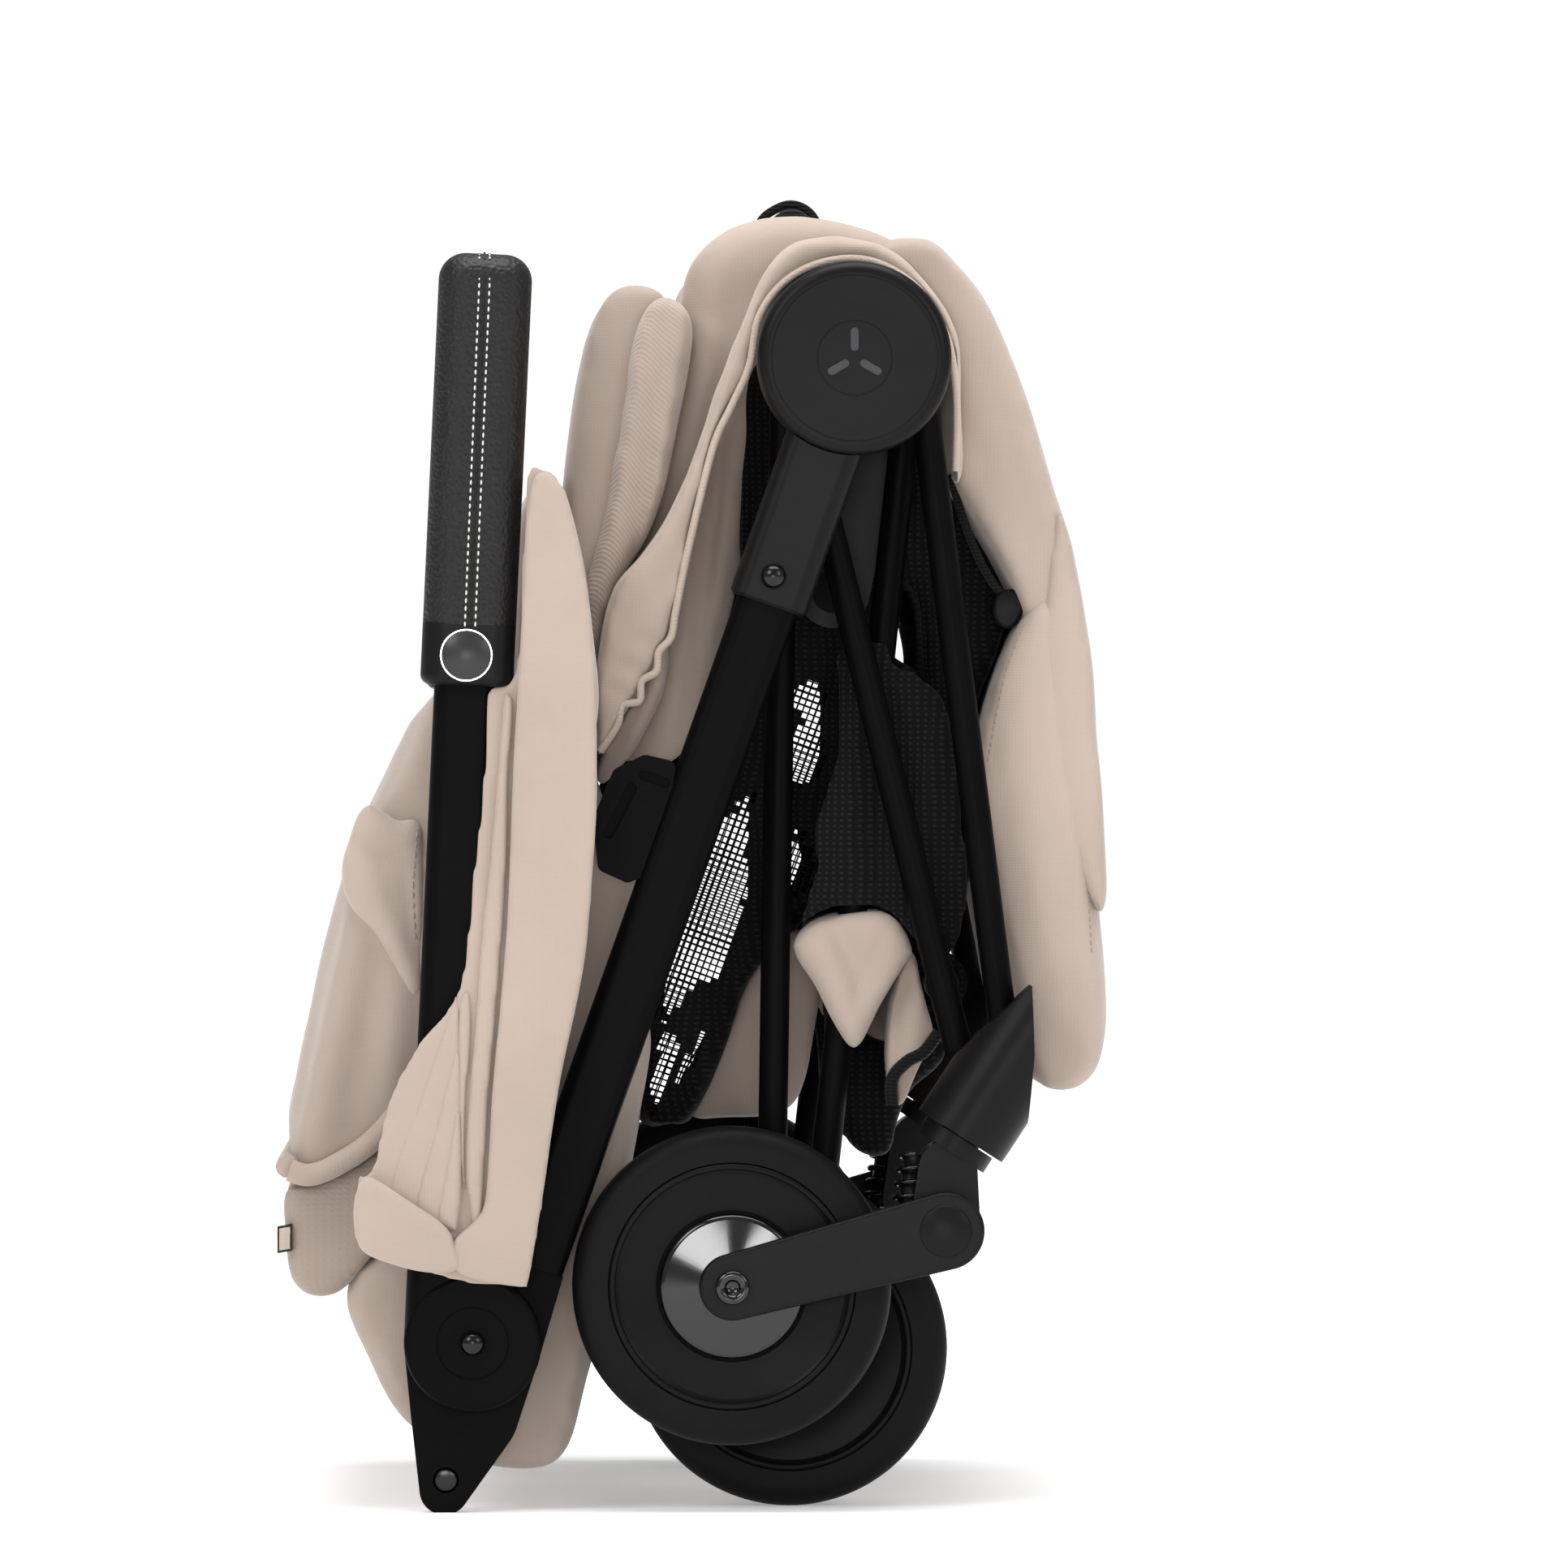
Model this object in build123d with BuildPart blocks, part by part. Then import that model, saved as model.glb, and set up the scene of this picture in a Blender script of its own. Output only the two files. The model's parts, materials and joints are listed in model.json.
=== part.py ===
"""A compact folding baby stroller, modelled folded and standing on its rear wheels and frame tips.

+X is the front of the stroller, +Y its left side and +Z up. The side view is the XZ plane.
Right-hand pieces lie at negative Y, and each left-hand piece is their mirror image.
"""
import os
from math import hypot

from build123d import *

os.makedirs("parts", exist_ok=True)

# --- driving dimensions, side view, as (x, z) ------------------------------------------------------
HUB = (65.3, 470.3)  # main fold axis, shared by the legs, the push bar and the seat
ELBOW = (-90.1, 69.6)  # fold axis between the push bar and the handle
TUBE_END = (-65.7, 100.3)  # where the push tube meets the elbow bracket
SLEEVE_END = (30.0, 370.0)
TIP = (-101.6, 9.2)  # rounded foot of the elbow bracket, which the folded frame stands on
TIP_R = 10.2
HANDLE_FOOT = (-104.9, 69.6)
HANDLE_HEAD = (-85.0, 499.0)
COLLAR = (-92.6, 349.3)
COLLAR_START, COLLAR_LENGTH = 267.5, 25.0  # measured along the handle from its foot
GRIP_START, GRIP_LENGTH = COLLAR_START + COLLAR_LENGTH, 151.0
CROSS_BAR = (58.0, 376.0)
CASTER_TOP = (108.9, 153.1)  # where the caster's neck enters its housing
CASTER_DOWN = (-0.545, -0.838)  # direction of the swivel axis, downwards
ARM_PIVOT = (102.3, 115.2)
FRONT_AXLE = (15.5, 92.4)
REAR_AXLE = (40.0, 65.0)
LEG_ROOT_FRONT = ((37.8, 473.0), (91.2, 478.0))
LEG_FOOT_FRONT = ((108.5, 188.5), (126.5, 200.0))
LEG_ROOT_REAR = ((37.9, 473.0), (91.3, 478.0))
LEG_FOOT_REAR = ((31.6, 66.0), (46.1, 66.0))

# --- layers across the stroller, as distances from its middle plane --------------------------------
GAP = 0.4
PLATE_IN, PLATE_OUT = 149.6, 160.0
REAR_IN, REAR_OUT = PLATE_OUT + GAP, 172.6
FRONT_IN, FRONT_OUT = REAR_OUT + GAP, 193.2
CAP_IN, CAP_OUT = FRONT_OUT + GAP, 218.0
TUBE_IN, TUBE_OUT = 194.4, 210.4
BRACKET_OUT = 203.0
HANDLE_IN, HANDLE_OUT = BRACKET_OUT + GAP, 217.4
HANDLE_Y = (HANDLE_IN + HANDLE_OUT) / 2
SLEEVE_OUT = 215.6
SHEET_IN, SHEET_OUT = 218.6, 223.0
CASTER_Y = 198.0
ARM_IN, ARM_OUT = 215.0, 223.0
REAR_LEG_Y = (REAR_IN + REAR_OUT) / 2
FRONT_LEG_Y = 187.0
REAR_WHEEL_Y = 145.0

# --- sections ---------------------------------------------------------------------------------------
CAP_R = 39.6
SOCKET_R = 36.0
PIN_R, PIN_LONG = 8.0, 10.0
FIT = 0.05
LEG_TUBE_R = 6.0
PUSH_WIDTH = 25.5
SLEEVE_WIDTH = 32.4
HANDLE_WIDTH = 26.4
GRIP_WIDTH, GRIP_DEPTH = 38.0, 30.0
GRIP_BAR = (-84.4, 496.4)
BOSS_R, BOSS_OUT = 28.0, 218.2
SHANK_R = 3.0
RIVET_R, RIVET_HIGH, RIVET_ROUND = 5.2, 2.6, 2.2
TIP_RIVET = (-101.0, 13.2)
SLEEVE_RIVET = (32.3, 381.5)
GROOVE_WIDE, GROOVE_DEEP = 0.8, 0.8
BUTTON_X, BUTTON_Y, BUTTON_FOOT, BUTTON_TRAVEL = 16.0, 56.0, 505.4, 3.0
WHEEL_R, WHEEL_WIDTH, RIM_R = 65.0, 30.0, 50.6
AXLE_R = 5.0
HOUSING_R = 20.2
NECK_R = 9.0
CROSS_R = 9.0
SOFT_HALF = 181.5  # half width of the canopy fabric, inside the handle tubes
SEAT_HALF = 168.0
BASKET_HALF = 140.0


def side(distance):
    """The side-view plane on the right of the stroller; its normal points outwards."""
    return Plane.XZ.offset(distance)


def heading(start, end):
    """Unit vector in the side view, and the length between two points."""
    length = hypot(end[0] - start[0], end[1] - start[1])
    return ((end[0] - start[0]) / length, (end[1] - start[1]) / length), length


def along(start, end, distance):
    """The point at a distance from start towards end, in the side view."""
    (dx, dz), _ = heading(start, end)
    return (start[0] + dx * distance, start[1] + dz * distance)


def on_line(start, end, y, distance=0.0):
    """A plane across a side-view line, at a distance from its start, with local Y across the stroller."""
    (dx, dz), _ = heading(start, end)
    x, z = along(start, end, distance)
    return Plane(origin=(x, -y, z), x_dir=(dz, 0, -dx), z_dir=(dx, 0, dz))


def save(piece, name):
    """Label a finished piece and write it."""
    piece.label = name
    export_step(piece, f"parts/{name}.step")


def save_pair(piece, name):
    """Write a right-hand piece and its mirror image on the left."""
    save(piece, name + "_right")
    save(mirror(piece, about=Plane.XZ), name + "_left")


# --- chassis: hub plates with their pins, cross bar and the fabric over the hubs --------------------
with BuildPart() as seat_cross_bar:
    with BuildSketch(side(-PLATE_OUT)):
        with Locations(CROSS_BAR):
            Circle(CROSS_R)
    extrude(amount=2 * PLATE_OUT)

with BuildPart() as hub_plate:
    with BuildSketch(side(PLATE_IN)):
        with Locations(HUB):
            Circle(28)
        with Locations(CROSS_BAR):
            Circle(15)
        make_hull()
    extrude(amount=PLATE_OUT - PLATE_IN)
    chamfer(hub_plate.faces().sort_by(Axis.Y)[-1].edges(), 1)
    with BuildSketch(side(PLATE_OUT)):
        with Locations(HUB):
            Circle(PIN_R)
    extrude(amount=46)
    add(seat_cross_bar.part, mode=Mode.SUBTRACT)

with BuildPart() as hub_fabric:
    with BuildSketch(side(-PLATE_IN + 1)):
        with BuildLine():
            ThreePointArc((9, 493), (62, 531.6), (119, 493))
            Line((119, 493), (9, 493))
        make_face()
    extrude(amount=2 * PLATE_IN - 2)
    fillet(hub_fabric.edges().filter_by(Axis.Y), 4)

save(seat_cross_bar.part, "seat_cross_bar")
save_pair(hub_plate.part, "hub_plate")
save(hub_fabric.part, "hub_fabric")

# --- push bar: hub caps, sleeves, tubes, elbow brackets ---------------------------------------------
with BuildPart() as hub_cap:
    with BuildSketch(side(CAP_IN)):
        with Locations(HUB):
            Circle(CAP_R)
            Circle(PIN_R + FIT, mode=Mode.SUBTRACT)
    extrude(amount=14)
    with BuildSketch(side(CAP_IN + 14)):
        with Locations(HUB):
            Circle(CAP_R)
    extrude(amount=CAP_OUT - CAP_IN - 14)
    fillet(hub_cap.faces().sort_by(Axis.Y)[0].edges(), 5)
    with BuildSketch(side(CAP_OUT)):
        with Locations(HUB):
            Circle(34.2)
            Circle(34.2 - GROOVE_WIDE, mode=Mode.SUBTRACT)
            Circle(15.6)
            Circle(15.6 - GROOVE_WIDE, mode=Mode.SUBTRACT)
    extrude(amount=-GROOVE_DEEP, mode=Mode.SUBTRACT)

with BuildPart() as hub_emblems:
    with BuildSketch(side(CAP_OUT)):
        with Locations(HUB):
            with PolarLocations(7.6, 3, start_angle=90):
                SlotOverall(9.5, 3.2)
    extrude(amount=0.6)
    mirror(about=Plane.XZ)

with BuildPart() as push_tube:
    with BuildSketch(on_line(HUB, TUBE_END, (TUBE_IN + TUBE_OUT) / 2, 58)):
        RectangleRounded(PUSH_WIDTH, TUBE_OUT - TUBE_IN, 6)
    extrude(amount=heading(HUB, TUBE_END)[1] - 58)

with BuildPart() as hub_sleeve:
    with BuildSketch(on_line(HUB, SLEEVE_END, (CAP_IN + SLEEVE_OUT) / 2, 26)):
        RectangleRounded(SLEEVE_WIDTH, SLEEVE_OUT - CAP_IN, 7)
    extrude(amount=heading(HUB, SLEEVE_END)[1] - 26)
    chamfer(hub_sleeve.faces().sort_by(Axis.Z)[0].edges(), 1.2)
    with BuildSketch(side(CAP_IN)):
        with Locations(HUB):
            Circle(CAP_R)
    extrude(amount=CAP_OUT - CAP_IN, mode=Mode.SUBTRACT)
    add(push_tube.part, mode=Mode.SUBTRACT)

with BuildPart() as elbow_bracket:
    with BuildSketch(side(TUBE_IN)):
        with Locations(ELBOW):
            Circle(BOSS_R)
        with Locations((-93.2, 41.6)):
            Circle(22.2)
        with Locations(TIP):
            Circle(TIP_R)
        with BuildLine():
            Polyline((-67.5, 102.5), (-52.6, 98), (-62.7, 71.3), (-67.5, 102.5))
        make_hull()
    extrude(amount=BRACKET_OUT - TUBE_IN)
    with BuildSketch(side(BRACKET_OUT)):
        with Locations(ELBOW):
            Circle(PIN_R)
    extrude(amount=PIN_LONG)
    with BuildSketch(side(BRACKET_OUT)):
        with Locations(ELBOW):
            Circle(SHANK_R)
    extrude(amount=BOSS_OUT + GAP - BRACKET_OUT)
    with BuildSketch(side(BRACKET_OUT)):
        with Locations(TIP_RIVET):
            Circle(RIVET_R + FIT)
    extrude(amount=-RIVET_HIGH, mode=Mode.SUBTRACT)
    with BuildSketch(on_line(HUB, TUBE_END, (TUBE_IN + TUBE_OUT) / 2, 320)):
        Rectangle(PUSH_WIDTH + 20, 40)
    extrude(amount=heading(HUB, TUBE_END)[1] - 320, mode=Mode.SUBTRACT)
    split(bisect_by=Plane.XY)

with BuildPart() as frame_rivets:
    for spot, foot in (
        (TIP_RIVET, BRACKET_OUT - RIVET_HIGH), (SLEEVE_RIVET, SLEEVE_OUT + 0.2), (ELBOW, BOSS_OUT + GAP),
    ):
        with BuildPart(mode=Mode.PRIVATE) as rivet:
            with BuildSketch(side(foot)):
                with Locations(spot):
                    Circle(RIVET_R)
            extrude(amount=RIVET_HIGH)
            fillet(rivet.faces().sort_by(Axis.Y)[0].edges(), RIVET_ROUND)
        add(rivet.part)
    mirror(about=Plane.XZ)

with BuildPart() as canopy_clips:
    with BuildSketch(side(196)) as clip_outline:
        with BuildLine():
            Polyline((-7, 306), (-20, 309), (-32.5, 303), (-41, 283), (-39, 262), (-27, 256.5),
                     (-14, 262), close=True)
        make_face()
        fillet(clip_outline.vertices(), 3.5)
    extrude(amount=12)
    with BuildSketch(side(208)):
        with Locations(Location((-30, 286), 63)):
            SlotOverall(25, 4.5)
    extrude(amount=-4, mode=Mode.SUBTRACT)
    with BuildSketch(side(208)):
        with Locations(Location((-16, 299), -20)):
            SlotOverall(13, 4)
    extrude(amount=-3, mode=Mode.SUBTRACT)
    add(push_tube.part, mode=Mode.SUBTRACT)
    mirror(about=Plane.XZ)

save_pair(hub_cap.part, "hub_cap")
save(hub_emblems.part, "hub_emblems")
save_pair(push_tube.part, "push_tube")
save_pair(hub_sleeve.part, "hub_sleeve")
save_pair(elbow_bracket.part, "elbow_bracket")
save(frame_rivets.part, "frame_rivets")
save(canopy_clips.part, "canopy_clips")

# --- handle: tubes with their elbow bosses, collars, badges, grips and the release button -----------
with BuildPart() as handle_boss:
    with BuildSketch(side(HANDLE_IN)):
        with Locations(ELBOW):
            Circle(BOSS_R)
    extrude(amount=BOSS_OUT - HANDLE_IN)
    fillet(handle_boss.faces().sort_by(Axis.Y)[0].edges(), 2.4)

with BuildPart() as handle_tube:
    with BuildSketch(on_line(HANDLE_FOOT, HANDLE_HEAD, HANDLE_Y)):
        RectangleRounded(HANDLE_WIDTH, HANDLE_OUT - HANDLE_IN, 6)
    extrude(amount=heading(HANDLE_FOOT, HANDLE_HEAD)[1])
    add(handle_boss.part)
    with BuildSketch(side(HANDLE_IN)):
        with Locations(ELBOW):
            Circle(PIN_R + FIT)
    extrude(amount=PIN_LONG + GAP, mode=Mode.SUBTRACT)
    with BuildSketch(side(HANDLE_IN)):
        with Locations(ELBOW):
            Circle(SHANK_R + FIT)
    extrude(amount=BOSS_OUT - HANDLE_IN, mode=Mode.SUBTRACT)
    with BuildSketch(side(BOSS_OUT)):
        with Locations(ELBOW):
            Circle(15)
            Circle(15 - GROOVE_WIDE, mode=Mode.SUBTRACT)
    extrude(amount=-GROOVE_DEEP, mode=Mode.SUBTRACT)

with BuildPart() as grip_collar:
    with BuildSketch(on_line(HANDLE_FOOT, HANDLE_HEAD, HANDLE_Y, COLLAR_START)):
        RectangleRounded(GRIP_WIDTH, GRIP_DEPTH, 9)
    extrude(amount=COLLAR_LENGTH)
    fillet(grip_collar.faces().sort_by(Axis.Z)[0].edges(), 4)
    add(handle_tube.part, mode=Mode.SUBTRACT)

with BuildPart() as collar_badges:
    with BuildSketch(side(HANDLE_Y + GRIP_DEPTH / 2)):
        with Locations(COLLAR):
            Circle(10.6)
    extrude(amount=1.2)
    with BuildSketch(side(HANDLE_Y + GRIP_DEPTH / 2 + 1.2)):
        with Locations(COLLAR):
            Circle(9.4)
    extrude(amount=-0.5, mode=Mode.SUBTRACT)
    mirror(about=Plane.XZ)

with BuildPart() as grip_side:
    with BuildSketch(on_line(HANDLE_FOOT, HANDLE_HEAD, HANDLE_Y, GRIP_START)):
        RectangleRounded(GRIP_WIDTH, GRIP_DEPTH, 12)
    extrude(amount=GRIP_LENGTH)
    fillet(grip_side.faces().sort_by(Axis.Z)[-1].edges(), 11)
    add(handle_tube.part, mode=Mode.SUBTRACT)

with BuildPart() as grip_top:
    with BuildSketch(side(-(HANDLE_Y - GRIP_DEPTH / 2))):
        with Locations(GRIP_BAR):
            RectangleRounded(33, 31, 12)
    extrude(amount=2 * HANDLE_Y - GRIP_DEPTH)
    with Locations((GRIP_BAR[0], 0, BUTTON_FOOT + 4)):
        Box(BUTTON_X + 3, BUTTON_Y + 3, 8)
    with Locations((GRIP_BAR[0], 0, BUTTON_FOOT + 4)):
        Box(BUTTON_X + 0.6, BUTTON_Y + 0.6, 2 * (4 + BUTTON_TRAVEL + GAP), mode=Mode.SUBTRACT)

with BuildPart() as release_button:
    with BuildSketch(Plane.XY.offset(BUTTON_FOOT)):
        with Locations((GRIP_BAR[0], 0)):
            RectangleRounded(BUTTON_X, BUTTON_Y, 3)
    extrude(amount=11)
    chamfer(release_button.faces().sort_by(Axis.Z)[-1].edges(), 0.8)

save_pair(handle_tube.part, "handle_tube")
save_pair(grip_collar.part, "grip_collar")
save(collar_badges.part, "collar_badges")
save_pair(grip_side.part, "grip_side")
save(grip_top.part, "grip_top")
save(release_button.part, "release_button")

# --- front legs: hub sockets, twin tubes, caster housings and the cross tube ------------------------
with BuildPart() as front_leg_socket:
    with BuildSketch(side(FRONT_IN)):
        with Locations(HUB):
            Circle(SOCKET_R)
            Circle(PIN_R + FIT, mode=Mode.SUBTRACT)
    extrude(amount=FRONT_OUT - FRONT_IN)

with BuildPart() as front_leg_tubes:
    for root, foot in zip(LEG_ROOT_FRONT, LEG_FOOT_FRONT):
        with BuildSketch(on_line(root, foot, FRONT_LEG_Y)):
            Circle(LEG_TUBE_R)
        extrude(amount=heading(root, foot)[1])
    with BuildSketch(side(FRONT_IN)):
        with Locations(HUB):
            Circle(SOCKET_R)
    extrude(amount=FRONT_OUT - FRONT_IN + 1, mode=Mode.SUBTRACT)

CASTER_AXIS = Plane(
    origin=(CASTER_TOP[0], -CASTER_Y, CASTER_TOP[1]), z_dir=(-CASTER_DOWN[0], 0, -CASTER_DOWN[1])
)

with BuildPart() as swivel_housing:
    with BuildSketch(side(CASTER_Y - HOUSING_R)):
        with BuildLine():
            Polyline((90.8, 165), (107, 187), (137.6, 214.8), (138.6, 186.8), (136.3, 156.8),
                     (125.7, 142.6), close=True)
        make_face()
    extrude(amount=2 * HOUSING_R)
    with Locations(CASTER_AXIS):
        Cylinder(HOUSING_R, 200, mode=Mode.INTERSECT)
    with BuildSketch(CASTER_AXIS):
        Circle(NECK_R + FIT)
    extrude(amount=26, mode=Mode.SUBTRACT)
    add(front_leg_tubes.part, mode=Mode.SUBTRACT)

with BuildPart() as front_cross_tube:
    with BuildSketch(side(-FRONT_LEG_Y)):
        with Locations((101.9, 215)):
            Circle(7)
    extrude(amount=2 * FRONT_LEG_Y)
    add(front_leg_tubes.part, mode=Mode.SUBTRACT)
    add(mirror(front_leg_tubes.part, about=Plane.XZ), mode=Mode.SUBTRACT)

save_pair(front_leg_socket.part, "front_leg_socket")
save_pair(front_leg_tubes.part, "front_leg_tubes")
save_pair(swivel_housing.part, "swivel_housing")
save(front_cross_tube.part, "front_cross_tube")

# --- casters: fork, suspension arm with its stub axle, and wheel ------------------------------------
with BuildPart() as caster_fork:
    with BuildSketch(side(CASTER_Y - 13)):
        with Locations((103.5, 140)):
            Circle(12)
        with Locations(ARM_PIVOT):
            Circle(14.5)
        make_hull()
    extrude(amount=26)
    with BuildSketch(CASTER_AXIS.offset(-0.4)):
        Circle(16)
    extrude(amount=-7)
    with BuildSketch(CASTER_AXIS.offset(-0.4)):
        Circle(NECK_R)
    extrude(amount=25)
    with BuildSketch(side(CASTER_Y + 13)):
        with Locations(ARM_PIVOT):
            Circle(14.5)
    extrude(amount=ARM_IN - CASTER_Y - 13 - GAP)
    with BuildSketch(side(ARM_IN - GAP)):
        with Locations(ARM_PIVOT):
            Circle(6)
    extrude(amount=7)

with BuildPart() as suspension_arm:
    with BuildSketch(side(ARM_IN)):
        with Locations(FRONT_AXLE):
            Circle(13.5)
        with Locations(ARM_PIVOT):
            Circle(15.8)
        make_hull()
    extrude(amount=ARM_OUT - ARM_IN)
    fillet(suspension_arm.faces().sort_by(Axis.Y)[0].edges(), 1.6)
    with BuildSketch(side(ARM_IN)):
        with Locations(ARM_PIVOT):
            Circle(6 + FIT)
    extrude(amount=7, mode=Mode.SUBTRACT)
    with BuildSketch(side(ARM_IN)):
        with Locations(FRONT_AXLE):
            Circle(AXLE_R)
    extrude(amount=-(ARM_IN - CASTER_Y + 12))
    with BuildSketch(side(ARM_OUT)):
        with Locations(FRONT_AXLE):
            RegularPolygon(3.2, 6)
    extrude(amount=-3, mode=Mode.SUBTRACT)


def wheel(centre, y):
    """A tyre and its dished rim, turned about an axle at the given centre and depth."""
    hub_plane = Plane(origin=(centre[0], -y, centre[1]), x_dir=(1, 0, 0), z_dir=(0, 0, 1))
    spin = Axis((centre[0], -y, centre[1]), (0, 1, 0))
    half = WHEEL_WIDTH / 2
    with BuildPart() as tyre:
        with BuildSketch(hub_plane) as section:
            with Locations(((WHEEL_R + RIM_R) / 2, 0)):
                Rectangle(WHEEL_R - RIM_R, WHEEL_WIDTH)
            fillet(section.vertices().group_by(Axis.X)[-1], 8)
        revolve(axis=spin)
    with BuildPart() as rim:
        with BuildSketch(hub_plane):
            with BuildLine():
                Polyline((AXLE_R + FIT, -half + 1), (29, -half + 2), (31, -half + 5), (46, -half + 3),
                         (RIM_R, -half + 1), (RIM_R, half - 1), (46, half - 3), (31, half - 5),
                         (29, half - 3), (AXLE_R + FIT, half - 3), close=True)
            make_face()
        revolve(axis=spin)
    return tyre.part, rim.part


front_tyre, front_rim = wheel(FRONT_AXLE, CASTER_Y)
rear_tyre, rear_rim = wheel(REAR_AXLE, REAR_WHEEL_Y)

save_pair(caster_fork.part, "caster_fork")
save_pair(suspension_arm.part, "suspension_arm")
save_pair(front_tyre, "front_tyre")
save_pair(front_rim, "front_rim")
save_pair(rear_tyre, "rear_tyre")
save_pair(rear_rim, "rear_rim")

# --- rear legs: hub sockets, twin tubes, axle brackets, axle, brake pedal and basket ----------------
with BuildPart() as rear_leg_socket:
    with BuildSketch(side(REAR_IN)):
        with Locations(HUB):
            Circle(SOCKET_R)
            Circle(PIN_R + FIT, mode=Mode.SUBTRACT)
    extrude(amount=REAR_OUT - REAR_IN)

with BuildPart() as rear_axle:
    with BuildSketch(side(-REAR_OUT)):
        with Locations(REAR_AXLE):
            Circle(AXLE_R)
    extrude(amount=2 * REAR_OUT)

with BuildPart() as rear_leg_tubes:
    for root, foot in zip(LEG_ROOT_REAR, LEG_FOOT_REAR):
        with BuildSketch(on_line(root, foot, REAR_LEG_Y)):
            Circle(LEG_TUBE_R)
        extrude(amount=heading(root, foot)[1])
    with BuildSketch(side(REAR_IN)):
        with Locations(HUB):
            Circle(SOCKET_R)
        with Locations(REAR_AXLE):
            Circle(18)
    extrude(amount=REAR_OUT - REAR_IN + 1, mode=Mode.SUBTRACT)

with BuildPart() as axle_bracket:
    with BuildSketch(side(REAR_IN)):
        with Locations(REAR_AXLE):
            Circle(18)
    extrude(amount=REAR_OUT - REAR_IN)
    chamfer(axle_bracket.faces().sort_by(Axis.Y)[0].edges(), 1.2)
    add(rear_axle.part, mode=Mode.SUBTRACT)

with BuildPart() as brake_pedal:
    with BuildSketch(side(-34)):
        with Locations(REAR_AXLE):
            Circle(9.5)
        with Locations((14, 104)):
            Circle(5)
        make_hull()
    extrude(amount=68)
    fillet(brake_pedal.faces().sort_by(Axis.Y)[0].edges(), 1.5)
    fillet(brake_pedal.faces().sort_by(Axis.Y)[-1].edges(), 1.5)
    with BuildSketch(side(-34)):
        with Locations(REAR_AXLE):
            Circle(AXLE_R + FIT)
    extrude(amount=68, mode=Mode.SUBTRACT)

with BuildPart() as basket:
    with BuildSketch(side(-BASKET_HALF)):
        with BuildLine():
            Polyline((2, 350), (90, 350), (88, 230), (76, 166), (10, 160), (-8, 195), close=True)
        make_face()
    extrude(amount=2 * BASKET_HALF)
    offset(amount=-3, openings=basket.faces().sort_by(Axis.Z)[-1])

save_pair(rear_leg_socket.part, "rear_leg_socket")
save_pair(rear_leg_tubes.part, "rear_leg_tubes")
save(rear_axle.part, "rear_axle")
save_pair(axle_bracket.part, "axle_bracket")
save(brake_pedal.part, "brake_pedal")
save(basket.part, "basket")


# --- soft goods: plain closed solids in the space that each fabric piece holds ----------------------
def fabric_block(name, points, inner, outer):
    """A fabric piece that fills a side-view outline between two distances from the middle plane."""
    with BuildPart() as block:
        with BuildSketch(side(inner)):
            with BuildLine():
                Polyline(*points, close=True)
            make_face()
        extrude(amount=outer - inner)
    if inner > 0:
        save_pair(block.part, name)
    else:
        save(block.part, name)


fabric_block("canopy_shell", [
    (-107, 337), (-124, 297), (-135, 286), (-144, 253), (-157, 193), (-170, 136), (-167, 101),
    (-162, 89), (-145, 89), (-149, 136), (-137, 193), (-124, 253), (-112, 290), (-96, 328),
], -SOFT_HALF, SOFT_HALF)
fabric_block("canopy_folds", [
    (-64, 424), (-55, 400), (-54, 330), (-60, 250), (-72, 180), (-92, 112), (-114, 112),
    (-93, 180), (-80, 250), (-75, 330), (-73, 400),
], -SOFT_HALF, SOFT_HALF)
fabric_block("canopy_side", [
    (-68, 424), (-58, 425), (-51, 411), (-40, 364), (-38, 308), (-40, 266), (-45, 220),
    (-54.5, 177), (-68, 94), (-117, 101), (-137, 111), (-138, 137), (-118, 172), (-99, 225),
    (-86, 290), (-79, 330), (-71, 337),
], SHEET_IN, SHEET_OUT)
fabric_block("rear_panel", [
    (-24, 206), (-40, 71), (-54.5, 16), (-82, 17), (-62, 110), (-46, 206),
], -SOFT_HALF, SOFT_HALF)
fabric_block("backrest_pad", [
    (-50, 405), (-46, 455), (-38, 490), (-21.5, 494), (-3, 484), (-5, 451), (-21.5, 385),
    (-34, 330), (-49, 335),
], -SEAT_HALF, SEAT_HALF)
fabric_block("seat_pad", [
    (124, 437), (141, 437), (156.8, 388), (161.7, 355), (170, 246), (169, 187), (150, 168),
    (139, 175), (119, 302), (128.7, 373),
], -SEAT_HALF, SEAT_HALF)
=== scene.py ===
"""The looks of a folded baby stroller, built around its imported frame.

Side-view points are (x, z) in millimetres, as the frame is drawn. Right-hand pieces lie at negative Y.
"""

import json
import math

import bmesh
import bpy
from bpy.props import FloatProperty, FloatVectorProperty, PointerProperty
from mathutils import Matrix, Vector, noise


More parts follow.
